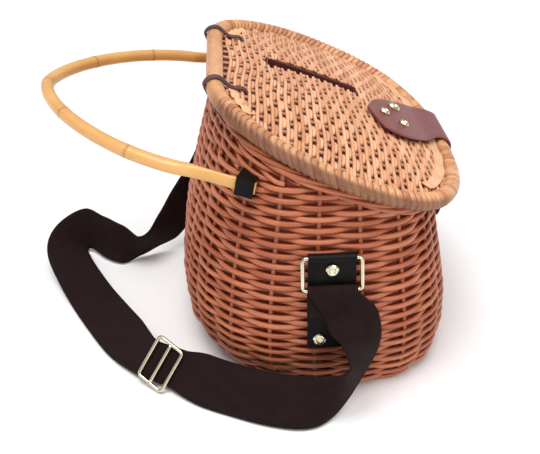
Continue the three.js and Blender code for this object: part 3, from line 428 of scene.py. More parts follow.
def evenAngles():
    # angle for a share of the way round, so that equal shares are equal lengths
    angle = np.linspace(0, 2 * np.pi, 8001)
    line = bodyPoint(angle, np.full_like(angle, 110.0))
    run = np.concatenate([[0], np.cumsum(np.linalg.norm(np.diff(line, axis=0), axis=1))])
    return lambda share: np.interp(np.mod(share, 1), run / run[-1], angle)


angleAt = evenAngles()


def lidPlane(y, above):  # height of a plane parallel to the lid
    return body["height"] - (body["hingeY"] - y) * tanSlope + above / cosSlope


def onWall(share, z, depth):
    # a point depth outside the middle of the wall, measured square to it
    angle = angleAt(share)
    here = bodyPoint(angle, z, body["wall"] / 2)
    step = 0.0015
    inset = body["wall"] / 2
    side = bodyPoint(angleAt(share + step), z, inset) - bodyPoint(angleAt(share - step), z, inset)
    rise = bodyPoint(angle, z + 4, body["wall"] / 2) - bodyPoint(angle, z - 4, body["wall"] / 2)
    out = unit(np.cross(side, rise))
    return here + out * np.asarray(depth)[..., None], out


def lidCutHeight(share, above):
    # where the wall's middle meets a plane parallel to the lid
    angle = angleAt(share)
    z = np.full_like(share, 200.0)
    for _ in range(25):
        z = lidPlane(bodyPoint(angle, z, body["wall"] / 2)[..., 1], above)
    return z


def overUnder(position, row):
    # out over one stake and in behind the next, quick between them
    wave = np.cos(np.pi * (position + row))
    return signedPower(wave, 0.75)


def shadeRods(rods, swing, limit, rod, sides, flankShade=0.7):
    # painted shade: sunk is high where a rod dips behind a stake and along its flanks, where the gaps lie in
    # shade
    dipShade = smooth(-swing, 0.15 * limit, 0.95 * limit)
    side = 1 - smooth(rods[2]["out"], -0.25, 0.5)
    rods[2]["rod"] = spread(rod, sides)
    rods[2]["sunk"] = np.clip(spread(dipShade, sides) * 0.95 + side * flankShade, 0, 1)
    return rods


def longPieces(position, rows, count):
    # a rod's shade lasts about five stakes, then the next rod has been spliced in
    shade = dice.random((rows, count))
    piece = np.floor(position / 5.0 + dice.uniform(0, 5, (rows, 1))).astype(int) % count
    return np.take_along_axis(shade, piece, 1)


def wovenWall():
    # each closed row is the plan's outline at its height, moved out and in by a cosine of the stakes
    count, steps, sides = weave["stakes"], weave["stepsPerStake"], weave["sides"]
    share = np.arange(count * steps) / (count * steps)
    rows = int((weave["closedTop"] - weave["firstRow"]) / weave["pitch"]) + 1
    row = np.arange(rows)[:, None]
    position = share[None] * count - weave["phase"]
    z = weave["firstRow"] + row * weave["pitch"] + wander(share[None], rows, 0.5) + 0 * share
    z = np.maximum(z, weave["rodRadius"] + weave["floorGap"])
    swing = weave["swing"] * overUnder(position, row)
    centres, out = onWall(share[None] + 0 * z, z, swing)
    radius = 1 + wander(share[None], rows, weave["ripple"], weave["ripples"])
    radius = weave["rodRadius"] * (radius + dice.uniform(-0.08, 0.08, (rows, 1)))
    level = tubes(centres, out, radius * weave["rodHigh"], radius * weave["rodDeep"], sides, True)
    return shadeRods(level, swing, weave["swing"], longPieces(position, rows, count), sides), rows


def partLine(ends, beyond, extra):
    steps = int((ends[1] - ends[0]) * weave["stakes"] * weave["stepsPerStake"]) + extra
    return np.linspace(ends[0] - beyond, ends[1] + beyond, steps)[None]


def partRow(line, z, row, high, deep, ripple):
    # one rod along part of the wall, out and in among the stakes like the closed rows
    position = line * weave["stakes"] - weave["phase"]
    swing = weave["swing"] * overUnder(position, row)
    centres, out = onWall(line, z, swing)
    radius = weave["rodRadius"] * (1 + wander(line, 1, ripple, weave["ripples"]))
    rods = tubes(centres, out, radius * high, radius * deep, weave["sides"], False)
    return shadeRods(rods, swing, weave["swing"], longPieces(position, 1, weave["stakes"]), weave["sides"])


def openRows(firstRow):
    # level rows above the front edge run round the back and end under the border
    parts = []
    share = np.linspace(-0.25, 0.75, 2001)
    cut = lidCutHeight(share, border["below"] - 2.0)
    for k in range(40):
        height = weave["firstRow"] + (firstRow + k) * weave["pitch"]
        if height > weave["levelTop"]:
            break
        line = partLine(share[cut > height][[0, -1]], 0, 6)
        z = height + wander(line, 1, 0.4)
        parts.append(partRow(line, z, firstRow + k, weave["rodHigh"], weave["rodDeep"], weave["ripple"]))
    return parts, firstRow + k


def slopedRows(firstRow):
    # short rows parallel to the lid fill the wedge at the back between the level rows and the border
    parts = []
    share = np.linspace(-0.25, 0.75, 2001)
    size = weave["slopedSize"]
    for k in range(24):
        above = -weave["roofDrop"] - weave["rodRadius"] - k * weave["slopedPitch"]
        inside = lidCutHeight(share, above) > weave["levelTop"] + weave["rodRadius"] * 0.6
        if not inside.any():
            break
        line = partLine(share[inside][[0, -1]], 0.006, 12)
        z = np.maximum(lidCutHeight(line, above), weave["levelTop"] + weave["rodRadius"] * 0.8)
        z = z + wander(line, 1, 0.4)
        parts.append(partRow(line, z, firstRow + k, size, size * 0.9, weave["slopedRipple"]))
    return parts


def wallStakes():
    # upright rods up the wall's middle line, from the base to the border
    count = weave["stakes"]
    share = ((np.arange(count) + weave["phase"]) / count)[:, None]
    top = lidCutHeight(share, weave["stakeTop"])
    z = weave["stakeBottom"] + np.linspace(0, 1, 60)[None] * (top - weave["stakeBottom"])
    centres, out = onWall(share + 0 * z, z, 0 * z)
    stakes = tubes(centres, out, weave["stakeRadius"], weave["stakeRadius"], 8, False)
    stakes[2]["rod"] = spread(np.repeat(dice.random((count, 1)), 60, 1), 8)
    # painted shade: the stakes, behind the rods, are darkened evenly
    stakes[2]["sunk"] = spread(0.55 + 0 * z, 8)
    return stakes


def shadeShell(outer, inner, closedRows):
    # two grids of points, one over the other, joined along their edges into a thin closed sheet, all of it
    # marked as full painted shade
    rows, columns = outer.shape[:2]
    index = np.arange(2 * rows * columns).reshape(2, rows, columns)
    if closedRows:
        index = np.concatenate([index, index[:, :, :1]], 2)
    a, b = index
    faces = [np.stack([a[:-1, :-1], a[:-1, 1:], a[1:, 1:], a[1:, :-1]], -1).reshape(-1, 4),
             np.stack([b[:-1, :-1], b[1:, :-1], b[1:, 1:], b[:-1, 1:]], -1).reshape(-1, 4)]
    edges = [(a[0], b[0], 1), (a[-1], b[-1], -1)]
    if not closedRows:
        edges += [(a[:, 0], b[:, 0], -1), (a[:, -1], b[:, -1], 1)]
    for p, q, way in edges:
        faces.append(np.stack([p[:-1], q[:-1], q[1:], p[1:]], -1)[:, ::way])
    points = np.stack([outer, inner])
    marks = {key: np.full(points.shape[:3], value) for key, value in
             (("rod", 0.5), ("sunk", 1.0), ("along", 0.0), ("turn", 0.0), ("out", 0.0))}
    return points, faces, marks


def wallShadeSheet():
    # painted shade: a dark sheet between the two layers of rods, just inside the wall's middle, standing for
    # the shade seen through the gaps
    share = np.arange(240)[None] / 240
    top = lidCutHeight(share[0], weave["stakeTop"])[None]
    z = weave["stakeBottom"] + (top - weave["stakeBottom"]) * np.linspace(0, 1, 70)[:, None]
    outer, inner = (onWall(share + 0 * z, z, depth + 0 * z)[0] for depth in (-0.9, -1.4))
    return shadeShell(outer, inner, True)


levelRows, rowCount = wovenWall()
points, faces, marks = gather([levelRows, wallStakes()])
newMesh("wall_weave", points, faces, wallWillow, "basket", marks, ("basket_wall",))
points, faces, marks = gather([wallShadeSheet()])
newMesh("wall_shade_sheet", points, faces, wallWillow, "basket", marks)
upperRows, rowCount = openRows(rowCount)
points, faces, marks = gather(upperRows + slopedRows(rowCount))
newMesh("wall_weave_upper", points, faces, wallWillow, "basket", marks)
print("woven wall:", rowCount, "level rows")

# the rolled top edge: four rods, each turning at one radius round the wall's middle line


def wovenBorder():
    share = np.arange(border["steps"]) / border["steps"]
    z = lidCutHeight(share, border["below"])
    middle, out = onWall(share, z, 0 * z)
    up = unit(np.cross(out, unit(np.roll(middle, -1, 0) - np.roll(middle, 1, 0))))
    start = np.arange(border["strands"])[:, None] * 2 * np.pi / border["strands"]
    turn = 2 * np.pi * border["turns"] * share + start
    centres = middle + border["twist"] * (np.cos(turn)[..., None] * out + np.sin(turn)[..., None] * up)
    out = np.broadcast_to(out, centres.shape)
    strands = tubes(centres, out, border["radius"], border["radius"], 8, True)
    strands[2]["rod"] = spread(np.repeat(dice.random((border["strands"], 1)), border["steps"], 1), 8)
    # painted shade on the side of each strand turned in towards the wall
    strands[2]["sunk"] = spread(smooth(-np.cos(turn), 0.1, 1.0) * 0.5, 8)
    return strands


points, faces, marks = gather([wovenBorder()])
newMesh("border_rods", points, faces, wallWillow, "basket", marks, ("basket_border",))

# the base: flat rods side to side over a few thick ones
base = {"pitch": 4.2, "radius": 1.9, "stakes": 11, "height": 4.6, "swing": 1.3}


def wovenBase():
    depth = np.arange(-88, 78, base["pitch"])[:, None]
    angle = np.linspace(0, np.pi, 2001)
    edge = bodyPoint(np.concatenate([angle, angle + np.pi]), np.full(4002, 5.0), 5.0)
    right = edge[edge[:, 0] > 0]
    order = np.argsort(right[:, 1])
    half = np.interp(depth[:, 0], right[order, 1], right[order, 0])[:, None]
    step = np.linspace(-1, 1, 120)[None]
    row = np.arange(len(depth))[:, None]
    x = step * half
    position = x / 26.0
    swing = base["swing"] * overUnder(position, row)
    centres = np.stack([x, depth + 0 * x, base["height"] + swing], -1)
    up = np.broadcast_to([0.0, 0.0, 1.0], centres.shape)
    rods = tubes(centres, up, base["radius"] * 1.1, base["radius"] * 0.9, 6, False)
    rods[2]["rod"] = spread(dice.random((len(depth), 1)) + 0 * x, 6)
    # painted shade: the flat rods of the base are darkened evenly
    rods[2]["sunk"] = spread(0.25 + 0 * x, 6)
    sticks = np.arange(-5, 6)[:, None] * 26.0
    left = edge[np.argsort(edge[:, 0])]
    close = [edge[abs(edge[:, 0] - place) < 3, 1] for place in sticks[:, 0]]
    frontY, backY = np.array([[y.min(), y.max()] for y in close]).T[:, :, None]
    y = frontY + (backY - frontY) * np.linspace(0, 1, 40)[None]
    lines = np.stack([sticks + 0 * y, y, base["height"] + 0 * y], -1)
    thick = tubes(lines, np.broadcast_to([0.0, 0.0, 1.0], lines.shape), 2.4, 2.0, 8, False)
    thick[2]["rod"] = spread(dice.random((len(sticks), 1)) + 0 * y, 8)
    # painted shade: the thick rods under them are darkened more
    thick[2]["sunk"] = spread(0.4 + 0 * y, 8)
    # a disc of painted shade between the rods closes the gaps, its rows shrinking towards the middle
    turns = np.linspace(0, 2 * np.pi, 121)[:-1]
    rings = np.linspace(0.02, 1, 8)[:, None, None]
    plan = bodyPoint(turns, np.full(120, base["height"]), 4.0)[None]
    centre = np.array([0.0, body["widest"], base["height"]])
    shadeDisc = centre + (plan - centre) * rings
    return [rods, thick, shadeShell(shadeDisc + [0, 0, 0.25], shadeDisc - [0, 0, 0.25], True)]


points, faces, marks = gather(wovenBase())
newMesh("base_weave", points, faces, wallWillow, "basket", marks)
print("border and base")

lid = {
    "width": 322, "back": 105, "front": 108.5, "straight": 124, "backPower": 1.9, "frontPower": 2.5,
    "dome": 12, "thick": 6.5, "rim": 7, "inset": 7.3, "pitch": 2.85, "stakeGap": 14.4, "rodRadius": 1.62,
    "swing": 1.35, "slot": (10.5, 31.5), "slotRun": (45.0, 131.0),
}


def toWorld(points):
    # lid frame to the row frame: turned by the slope about X, then moved to the hinge
    x, y, z = points[..., 0], points[..., 1], points[..., 2]
    return np.stack([x, body["hingeY"] + y * cosSlope - z * sinSlope,
                     body["height"] + y * sinSlope + z * cosSlope], -1)


def turned(vectors):
    x, y, z = vectors[..., 0], vectors[..., 1], vectors[..., 2]
    return np.stack([x, y * cosSlope - z * sinSlope, y * sinSlope + z * cosSlope], -1)


def lidEdge(angle, inset=0.0):
    # a straight back with round corners behind the widest line, a superellipse before it
    c, s = np.cos(angle), np.sin(angle)
    half, straight = lid["width"] / 2 - inset, lid["straight"] / 2
    backX = np.sign(c) * straight + (half - straight) * signedPower(c, 2 / lid["backPower"])
    x = np.where(s >= 0, backX, half * signedPower(c, 2 / lid["frontPower"]))
    reach = np.where(s >= 0, lid["back"], lid["front"]) - inset
    y = -lid["back"] + reach * signedPower(s, 2 / np.where(s >= 0, lid["backPower"], lid["frontPower"]))
    return np.stack([x, y, 0 * x], -1)


def edgeShare(x, run):
    # how far out a point of the panel lies, from 0 in the middle to 1 at its edge
    y = lid["back"] - run
    back = y > 0
    straight = np.where(back, lid["straight"] / 2, 0)
    power = np.where(back, lid["backPower"], lid["frontPower"])
    reach = np.where(back, lid["back"], lid["front"]) - lid["inset"]
    half = lid["width"] / 2 - lid["inset"]
    low, high = np.full(np.broadcast(x, run).shape, 0.01), np.full(np.broadcast(x, run).shape, 1.3)
    for _ in range(30):
        share = (low + high) / 2
        across = np.maximum(0, np.abs(x) / share - straight) / (half - straight)
        inside = across**power + (np.abs(y) / share / reach) ** power <= 1
        high, low = np.where(inside, share, high), np.where(inside, low, share)
    return high


def domeHeight(x, run):
    return lid["dome"] * (1 - np.minimum(edgeShare(x, run), 1.05) ** 2)


def lidHalfWidth(run, inset):
    angle = np.linspace(-np.pi / 2, np.pi / 2, 4001)
    line = lidEdge(angle, inset)
    order = np.argsort(-line[:, 1])
    return np.interp(run, -line[order, 1], line[order, 0])


def lidDrift(x, run):
    # slow sideways bends of the lid's rods, none at the ends of the slot
    bend = 1.3 * np.sin(x / 33 + run / 37 + 0.6) + 0.8 * np.sin(x / 21 - run / 53 + 2.1)
    bend = bend + 0.5 * np.sin(x / 12 + run / 17)
    ends = sum(np.exp(-((run - place) / 9) ** 2) for place in lid["slotRun"])
    return bend * (1 - np.clip(ends, 0, 1) * np.exp(-((x - 21) / 34) ** 2))


def lidRods(run, start, end, row):
    # rods side to side along the dome: every other one stays on top, and those between dip in turn
    steps = 132
    x = start[:, None] + (end - start)[:, None] * np.linspace(0, 1, steps)[None]
    line = run[:, None] + wander(x / 320, len(run), 0.5, (1.3, 3.1, 7.0)) + lidDrift(x, run[:, None])
    near = smooth(np.abs(x), lidHalfWidth(run, 26)[:, None], lidHalfWidth(run, 8)[:, None])
    line = line + near * wander(x / 320, len(run), 1.3, (2.0, 5.0))
    position = x / lid["stakeGap"]
    wave = np.cos(np.pi * (position + row[:, None] // 2))
    upper = row[:, None] % 2 == 0
    swing = lid["swing"] * np.where(upper, 0.45 + 0.3 * wave, 1.25 * signedPower(wave, 0.7) - 0.75)
    z = domeHeight(x, line) + swing
    local = np.stack([x, -line, z], -1)
    up = turned(np.broadcast_to([0.0, 0.0, 1.0], local.shape))
    radius = 1 + wander(x / 320, len(run), 0.07, (2, 5, 9))
    radius = lid["rodRadius"] * (radius + dice.uniform(-0.08, 0.08, (len(run), 1)))
    rods = tubes(toWorld(local), up, radius, radius * 0.92, 7, False)
    shade = dice.random((len(run), 4))
    piece = np.clip(((x / 320 + 0.5) * 3 + dice.uniform(0, 1, (len(run), 1))).astype(int), 0, 3)
    return shadeRods(rods, swing, lid["swing"] * 1.5, np.take_along_axis(shade, piece, 1), 7, 0.55)


def wovenLid():
    run = np.arange(11.5, 203.0, lid["pitch"])
    row = np.arange(len(run))
    half = lidHalfWidth(run, 4.5)
    cut = (run > lid["slotRun"][0] + 0.5) & (run < lid["slotRun"][1] - 0.5)
    whole = lidRods(run[~cut], -half[~cut], half[~cut], row[~cut])
    near = lidRods(run[cut], -half[cut], np.full(cut.sum(), lid["slot"][0] - 0.3), row[cut])
    far = lidRods(run[cut], np.full(cut.sum(), lid["slot"][1] + 0.3), half[cut], row[cut])
    return [whole, near, far]


def lidStakes():
    x = np.arange(-11, 12) * lid["stakeGap"]
    x = x[np.abs(x) < lid["width"] / 2 - 9]
    parts = []
    angle = np.linspace(0, 2 * np.pi, 8001)
    line = lidEdge(angle, 5.0)
    for place in x:
        close = line[np.abs(line[:, 0] - place) < 1.0]
        first = 5.0 if abs(place) < lid["straight"] / 2 else -close[:, 1].max()
        last = -close[:, 1].min()
        spans = [(first, last)]
        if lid["slot"][0] - 1.5 < place < lid["slot"][1] + 1.5:
            spans = [(first, lid["slotRun"][0] - 0.5), (lid["slotRun"][1] + 0.5, last)]
        for low, high in spans:
            run = np.linspace(low, high, 60)[None]
            local = np.stack([place + 0 * run, -run, domeHeight(place + 0 * run, run)], -1)
            up = turned(np.broadcast_to([0.0, 0.0, 1.0], local.shape))
            stake = tubes(toWorld(local), up, 1.7, 1.5, 8, False)
            stake[2]["rod"] = spread(np.full(run.shape, dice.random()), 8)
            # painted shade: the lid's stakes, under the rods, are darkened evenly
            stake[2]["sunk"] = spread(0.4 + 0 * run, 8)
            parts.append(stake)
    return parts


def lidShadeSheet():
    # painted shade under the lid's weave: four patches round the slot, a sheet just under the weave's middle
    parts = []
    low, high = lid["slotRun"]
    patches = ((7.5, low, -1, 1), (high, 206.0, -1, 1), (low, high, -1, 0), (low, high, 0, 1))
    for first, last, left, right in patches:
        run = np.linspace(first, last, 40)[:, None]
        half = lidHalfWidth(run, 5.0)
        start = -half if left else lid["slot"][1] + 0.2 + 0 * half
        end = half if right else lid["slot"][0] - 0.2 + 0 * half
        x = start + (end - start) * np.linspace(0, 1, 60)[None]
        height = domeHeight(x, run + 0 * x)
        layers = [toWorld(np.stack([x, -run + 0 * x, height + lift], -1)) for lift in (-0.9, -1.3)]
        parts.append(shadeShell(layers[0], layers[1], False))
    return parts


points, faces, marks = gather(wovenLid() + lidStakes() + lidShadeSheet())
newMesh("lid_weave", points, faces, lidWillow, "lid", marks, ("lid_panel",))
print("woven lid")

rim = {"ribs": 5.7, "ribDepth": 1.5, "steps": 1800, "sides": 28, "smoothRun": 6, "caneRun": 186,
       "shade": 0.74}


def ribbedRim():
    # a round rod whose surface rises and falls in slanted ribs, plain at the back
    angle = np.linspace(0, 2 * np.pi, 16001)
    dense = lidEdge(angle)
    length = np.concatenate([[0], np.cumsum(np.linalg.norm(np.diff(dense, axis=0), axis=1))])
    share = np.arange(rim["steps"]) / rim["steps"] * length[-1]
    middle = np.stack([np.interp(share, length, dense[:, i]) for i in range(3)], -1)
    along = unit(np.roll(middle, -1, 0) - np.roll(middle, 1, 0))
    out = np.stack([along[:, 1], -along[:, 0], 0 * along[:, 0]], -1)
    out = out * np.sign((out * (middle - [0, -lid["back"], 0])).sum(1))[:, None]
    around = (np.arange(rim["sides"]) / rim["sides"] * 2 * np.pi)[None]
    run = -middle[:, 1:2]
    plain = 1 - smooth(run, rim["smoothRun"] - 5, rim["smoothRun"] + 6)
    caned = smooth(run, rim["caneRun"] - 8, rim["caneRun"] + 8)
    count = round(length[-1] / rim["ribs"])
    slant = 0.55 + 0.35 * np.sin(run / 40.0)
    part = share[:, None] / length[-1]
    q = part * count + slant * np.sin(around) + wander(part, 1, 0.35, (9, 17, 31))
    rib = 1 - np.abs(2 * (q % 1) - 1) ** 3.5
    fine = np.cos(2 * np.pi * q * 3) * 0.12
    wide = share[:, None] / length[-1] * count / 2.1
    first, second = (wide + around / np.pi * 1.0) % 1, (wide - around / np.pi * 1.0) % 1
    cane = np.maximum((1 - np.abs(2 * first - 1) ** 5), (1 - np.abs(2 * second - 1) ** 5) * 0.8)
    knots = np.exp(-((share[:, None] - length[-1] * 0.25) / 1.2) ** 2)
    height = (rib + fine) * (1 - plain) * (1 - caned) + cane * caned * 0.9
    height = height + plain * (1.0 - 0.25 * knots)
    radius = lid["rim"] - rim["ribDepth"] * (1 - height)
    ring = middle[:, None] + radius[..., None] * (
        np.cos(around)[..., None] * out[:, None] + np.sin(around)[..., None] * np.array([0, 0, 1.0]))
    index = np.arange(ring.shape[0] * ring.shape[1]).reshape(ring.shape[:2])
    there = np.roll(index, -1, 0)
    quads = np.stack([index, np.roll(index, -1, 1), np.roll(there, -1, 1), there], -1).reshape(-1, 4)
    # painted shade on the rim's lower outer side, less on the cane and the plain back, and in the grooves
    # between the ribs
    lowerShade = smooth(1.02 - np.sin(around), 0.0, 0.6) * smooth(np.cos(around), -0.3, 0.3)
    lowerShade = lowerShade * rim["shade"] * (1 - 0.5 * caned)
    lowerShade = lowerShade * (1 - 0.7 * plain)
    sunk = np.maximum(smooth(1 - height, 0.25, 0.95), lowerShade)
    ribNumber = np.floor(q).astype(int) % count
    shade = dice.random(count)
    rod = shade[ribNumber] * (1 - plain) + 0.25 * plain
    marks = {"rod": rod, "sunk": sunk, "along": share[:, None] * plain + radius * around * (1 - plain),
             "turn": (around / 2 / np.pi) * plain + (q % 1) * 0.3 * (1 - plain)}
    return toWorld(ring), quads, {k: np.broadcast_to(v, ring.shape[:2]) for k, v in marks.items()}


points, quads, marks = ribbedRim()
newMesh("rim_wrap", points, [quads], rimWillow, "lid", marks, ("lid_rim",))
print("lid rim")

# flat cane just inside the rim, at the front and at the back
flatCane = {"width": 9.0, "thick": 1.3, "insets": (12.5, 13.5), "rise": 2.6, "wave": 0.7}


def caneBand(lowAngle, highAngle, inset, width, rise, waves):
    angle = np.linspace(lowAngle, highAngle, 240)[None]
    line = lidEdge(angle, inset)
    wave = flatCane["wave"] * np.cos(np.linspace(0, 2 * np.pi * waves, 240))[None]
    height = domeHeight(line[..., 0], -line[..., 1]) + rise + wave
    local = np.stack([line[..., 0], line[..., 1], height], -1)
    up = turned(np.broadcast_to([0.0, 0.0, 1.0], local.shape))
    band = tubes(toWorld(local), up, width / 2, flatCane["thick"] / 2, 16, False, 0.6)
    band[2]["rod"] = spread(np.full(angle.shape, dice.random() * 0.5), 16)
    band[2]["sunk"] = spread(0 * angle, 16)
    return band


deg = math.radians
points, faces, marks = gather([
    caneBand(deg(218), deg(322), flatCane["insets"][0], flatCane["width"], flatCane["rise"], 8),
    caneBand(deg(58), deg(88), flatCane["insets"][1], 7.5, 2.4, 4),
    caneBand(deg(92), deg(122), flatCane["insets"][1], 7.5, 2.4, 4),
])
newMesh("cane_bands", points, faces, stripCane, "lid", marks)

handle = {
    "spread": 257, "reach": 119.4, "endY": 112.8, "endHeight": 194.3, "rise": 23.7, "power": 1.62,
    "round": 5.25, "flatThick": 2.25, "flatHigh": 5.0, "footY": 64.0, "footHeight": 185.0,
    "knots": (0.2, 0.34, 0.5, 0.63, 0.79),
}


def handlePiece():
    # a bent rod: the hoop is part of a superellipse that also rises, the feet lie flat on the wall
    low = (handle["footHeight"] - handle["flatHigh"]) / body["height"]
    share, back = (np.interp(low, body["shares"][:, 0], body["shares"][:, i]) for i in (1, 3))
    off = (handle["footY"] - body["widest"]) / (back * body["depth"])
    inward = (1 - off ** body["backPower"]) ** (1 / body["backPower"])
    footX = share * body["width"] / 2 * inward + 0.6 + handle["flatThick"]
    foot = np.array([footX, handle["footY"], handle["footHeight"]])

    def hoop(turn):
        k = np.cos(turn) ** (2 / handle["power"])
        return np.stack([handle["spread"] / 2 * signedPower(np.sin(turn), 2 / handle["power"]),
                         handle["endY"] + handle["reach"] * k, handle["endHeight"] + handle["rise"] * k], -1)

    start = hoop(np.array(np.pi / 2))
    turns = np.array([0.94, 0.86, 0.77, 0.67, 0.56, 0.44, 0.3, 0.15]) * np.pi / 2
    half = np.concatenate([[foot, (foot + start) / 2, start], hoop(turns)])
    line = spline(np.concatenate([half, hoop(np.array([0.0])), half[::-1] * [-1, 1, 1]]), 14)
    length = np.concatenate([[0], np.cumsum(np.linalg.norm(np.diff(line, axis=0), axis=1))])
    even = np.linspace(0, length[-1], 360)
    line = np.stack([np.interp(even, length, line[:, i]) for i in range(3)], -1)[None]
    fromEnd = np.minimum(even, length[-1] - even)[None]
    flatRun = handle["endY"] - handle["footY"]
    roundness = smooth(fromEnd, flatRun * 0.6, flatRun * 1.3)
    bulge = sum(np.exp(-(((even / length[-1]) - k) * length[-1] / 3.0) ** 2) for k in handle["knots"])[None]
    dent = sum(np.exp(-(((even / length[-1]) - k) * length[-1] / 0.9) ** 2) for k in handle["knots"])[None]
    high = handle["flatHigh"] + (handle["round"] - handle["flatHigh"]) * roundness
    high = high + 0.35 * bulge - 0.5 * dent
    thick = handle["flatThick"] + (handle["round"] - handle["flatThick"]) * roundness
    thick = thick + 0.3 * bulge - 0.45 * dent
    along = unit(np.gradient(line, axis=1))
    out = unit(np.cross(along, np.broadcast_to([0.0, 0, 1.0], line.shape)))
    rod = tubes(line, out, high, thick, 24, False, 0.9)
    rod[2]["rod"] = spread(0 * fromEnd + 0.3, 24)
    # painted shade in the dents at the knots
    rod[2]["sunk"] = spread(dent * 0.6 + 0 * fromEnd, 24)
    return rod


points, faces, marks = gather([handlePiece()])
newMesh("handle_cane", points, faces, handleCane, "basket", marks, ("handle_hoop",))
print("handle")

latch = {
    "width": 80, "thick": 2.4, "tip": 82, "drop": 78, "lean": 6,
    "outline": np.array([  # run, half width, centre, as in the model
        [0.0, 0.06, -0.28], [0.08, 0.34, -0.36], [0.24, 0.475, -0.28], [0.44, 0.52, -0.155],
        [0.68, 0.5, 0.07],
        [0.93, 0.4, 0.31], [1.0, 0.39, 0.28]]),
}


def latchPiece():
    # a flat strap carried along its middle line: over the dome, round the front rod and down
    over = lid["rim"] + 0.3 + latch["thick"] / 2
    lidLength = lid["back"] + lid["front"]
    run = np.linspace(0, 1, 70)[:-1] ** 1.3
    y = -(lidLength - latch["tip"] * (1 - run))
    dome = domeHeight(0 * y, -y) + lid["thick"] / 2 + 0.3 + latch["thick"] / 2
    ease = smooth(run, 0.45, 0.95)
    top = np.stack([y, dome + (np.maximum(dome, over) - dome) * ease], -1)
    end = math.pi - body["slope"] + math.atan2(latch["lean"], latch["drop"])
    a = np.linspace(math.pi / 2, end, 20)
    bend = np.stack([-lidLength + over * np.cos(a), over * np.sin(a)], -1)
    fall = np.linspace(0, 1, 40)[1:]
    heading = np.array([math.cos(end + math.pi / 2), math.sin(end + math.pi / 2)])
    down = bend[-1] + fall[:, None] * latch["drop"] * heading
    line = np.concatenate([top, bend, down])
    share = np.concatenate([run, np.ones(20), np.ones(39)])
    hang = np.concatenate([np.zeros(89), fall])
    knots = np.linspace(0, 1, 61)
    eased = [np.convolve(np.pad(np.interp(knots, latch["outline"][:, 0], latch["outline"][:, k]), 4, "edge"),
                         np.full(9, 1 / 9), "valid") for k in (1, 2)]
    half, centre = (np.interp(share, knots, values) * latch["width"] for values in eased)
    nose = np.sqrt(np.clip(1 - (1 - np.minimum(share / 0.12, 1)) ** 2, 0.002, 1))
    half = half * nose
    tail = np.maximum(0, (hang - 0.75) / 0.25)
    half = half * np.sqrt(np.clip(1 - tail**2, 0.003, 1))
    along = unit(np.gradient(line, axis=0))
    out = np.stack([along[:, 1], -along[:, 0]], -1) * -1
    section = np.linspace(-1, 1, 41)
    margin = 3.5  # the pressed line near the edge
    fromEdge = (1 - np.abs(section))[None] * half[:, None]
    length = np.cumsum(np.linalg.norm(np.diff(line, axis=0, prepend=line[:1]), axis=1))
    fromEnds = np.minimum(length, length[-1] - length)[:, None] + 0 * fromEdge
    near = np.minimum(fromEdge, fromEnds)
    rounding = np.clip(near / 1.4, 0, 1)
    edgeFall = (1 - np.sqrt(1 - (1 - rounding) ** 2)) * latch["thick"] * 0.38
    press = 0.45 * np.exp(-(((near - margin) / 0.7) ** 2))
    outer = latch["thick"] / 2 - edgeFall - press
    inner = -latch["thick"] / 2 + edgeFall * 0.6
    layers = []
    for level in (outer, inner):
        p = np.stack([centre[:, None] + section[None] * half[:, None],
                      line[:, 0:1] + out[:, 0:1] * level, line[:, 1:2] + out[:, 1:2] * level], -1)
        layers.append(p)
    rows, columns = layers[0].shape[:2]
    index = np.arange(2 * rows * columns).reshape(2, rows, columns)
    a, b = index[0], index[1]
    faces = [np.stack([a[:-1, :-1], a[1:, :-1], a[1:, 1:], a[:-1, 1:]], -1).reshape(-1, 4),
             np.stack([b[:-1, :-1], b[:-1, 1:], b[1:, 1:], b[1:, :-1]], -1).reshape(-1, 4)]
    around = ((a[:, 0], b[:, 0]), (a[-1], b[-1]), (a[::-1, -1], b[::-1, -1]), (a[0, ::-1], b[0, ::-1]))
    for edgeA, edgeB in around:
        faces.append(np.stack([edgeA[:-1], edgeB[:-1], edgeB[1:], edgeA[1:]], -1))
    # painted shade: the upper face darkens near its edges, and the underside is darkened evenly
    edge = np.concatenate([smooth(-near, -1.2, 0).ravel(), np.full(rows * columns, 0.3)])
    return toWorld(np.stack(layers)).reshape(-1, 3), faces, {"edge": edge}


points, faces, marks = latchPiece()
newMesh("latch_leather", points, faces, brownLeather, "lid", marks, ("latch_strap",))

ties = {"places": (-66.0, 66.0), "radius": 1.25, "gap": 1.5, "tail": 27.0}


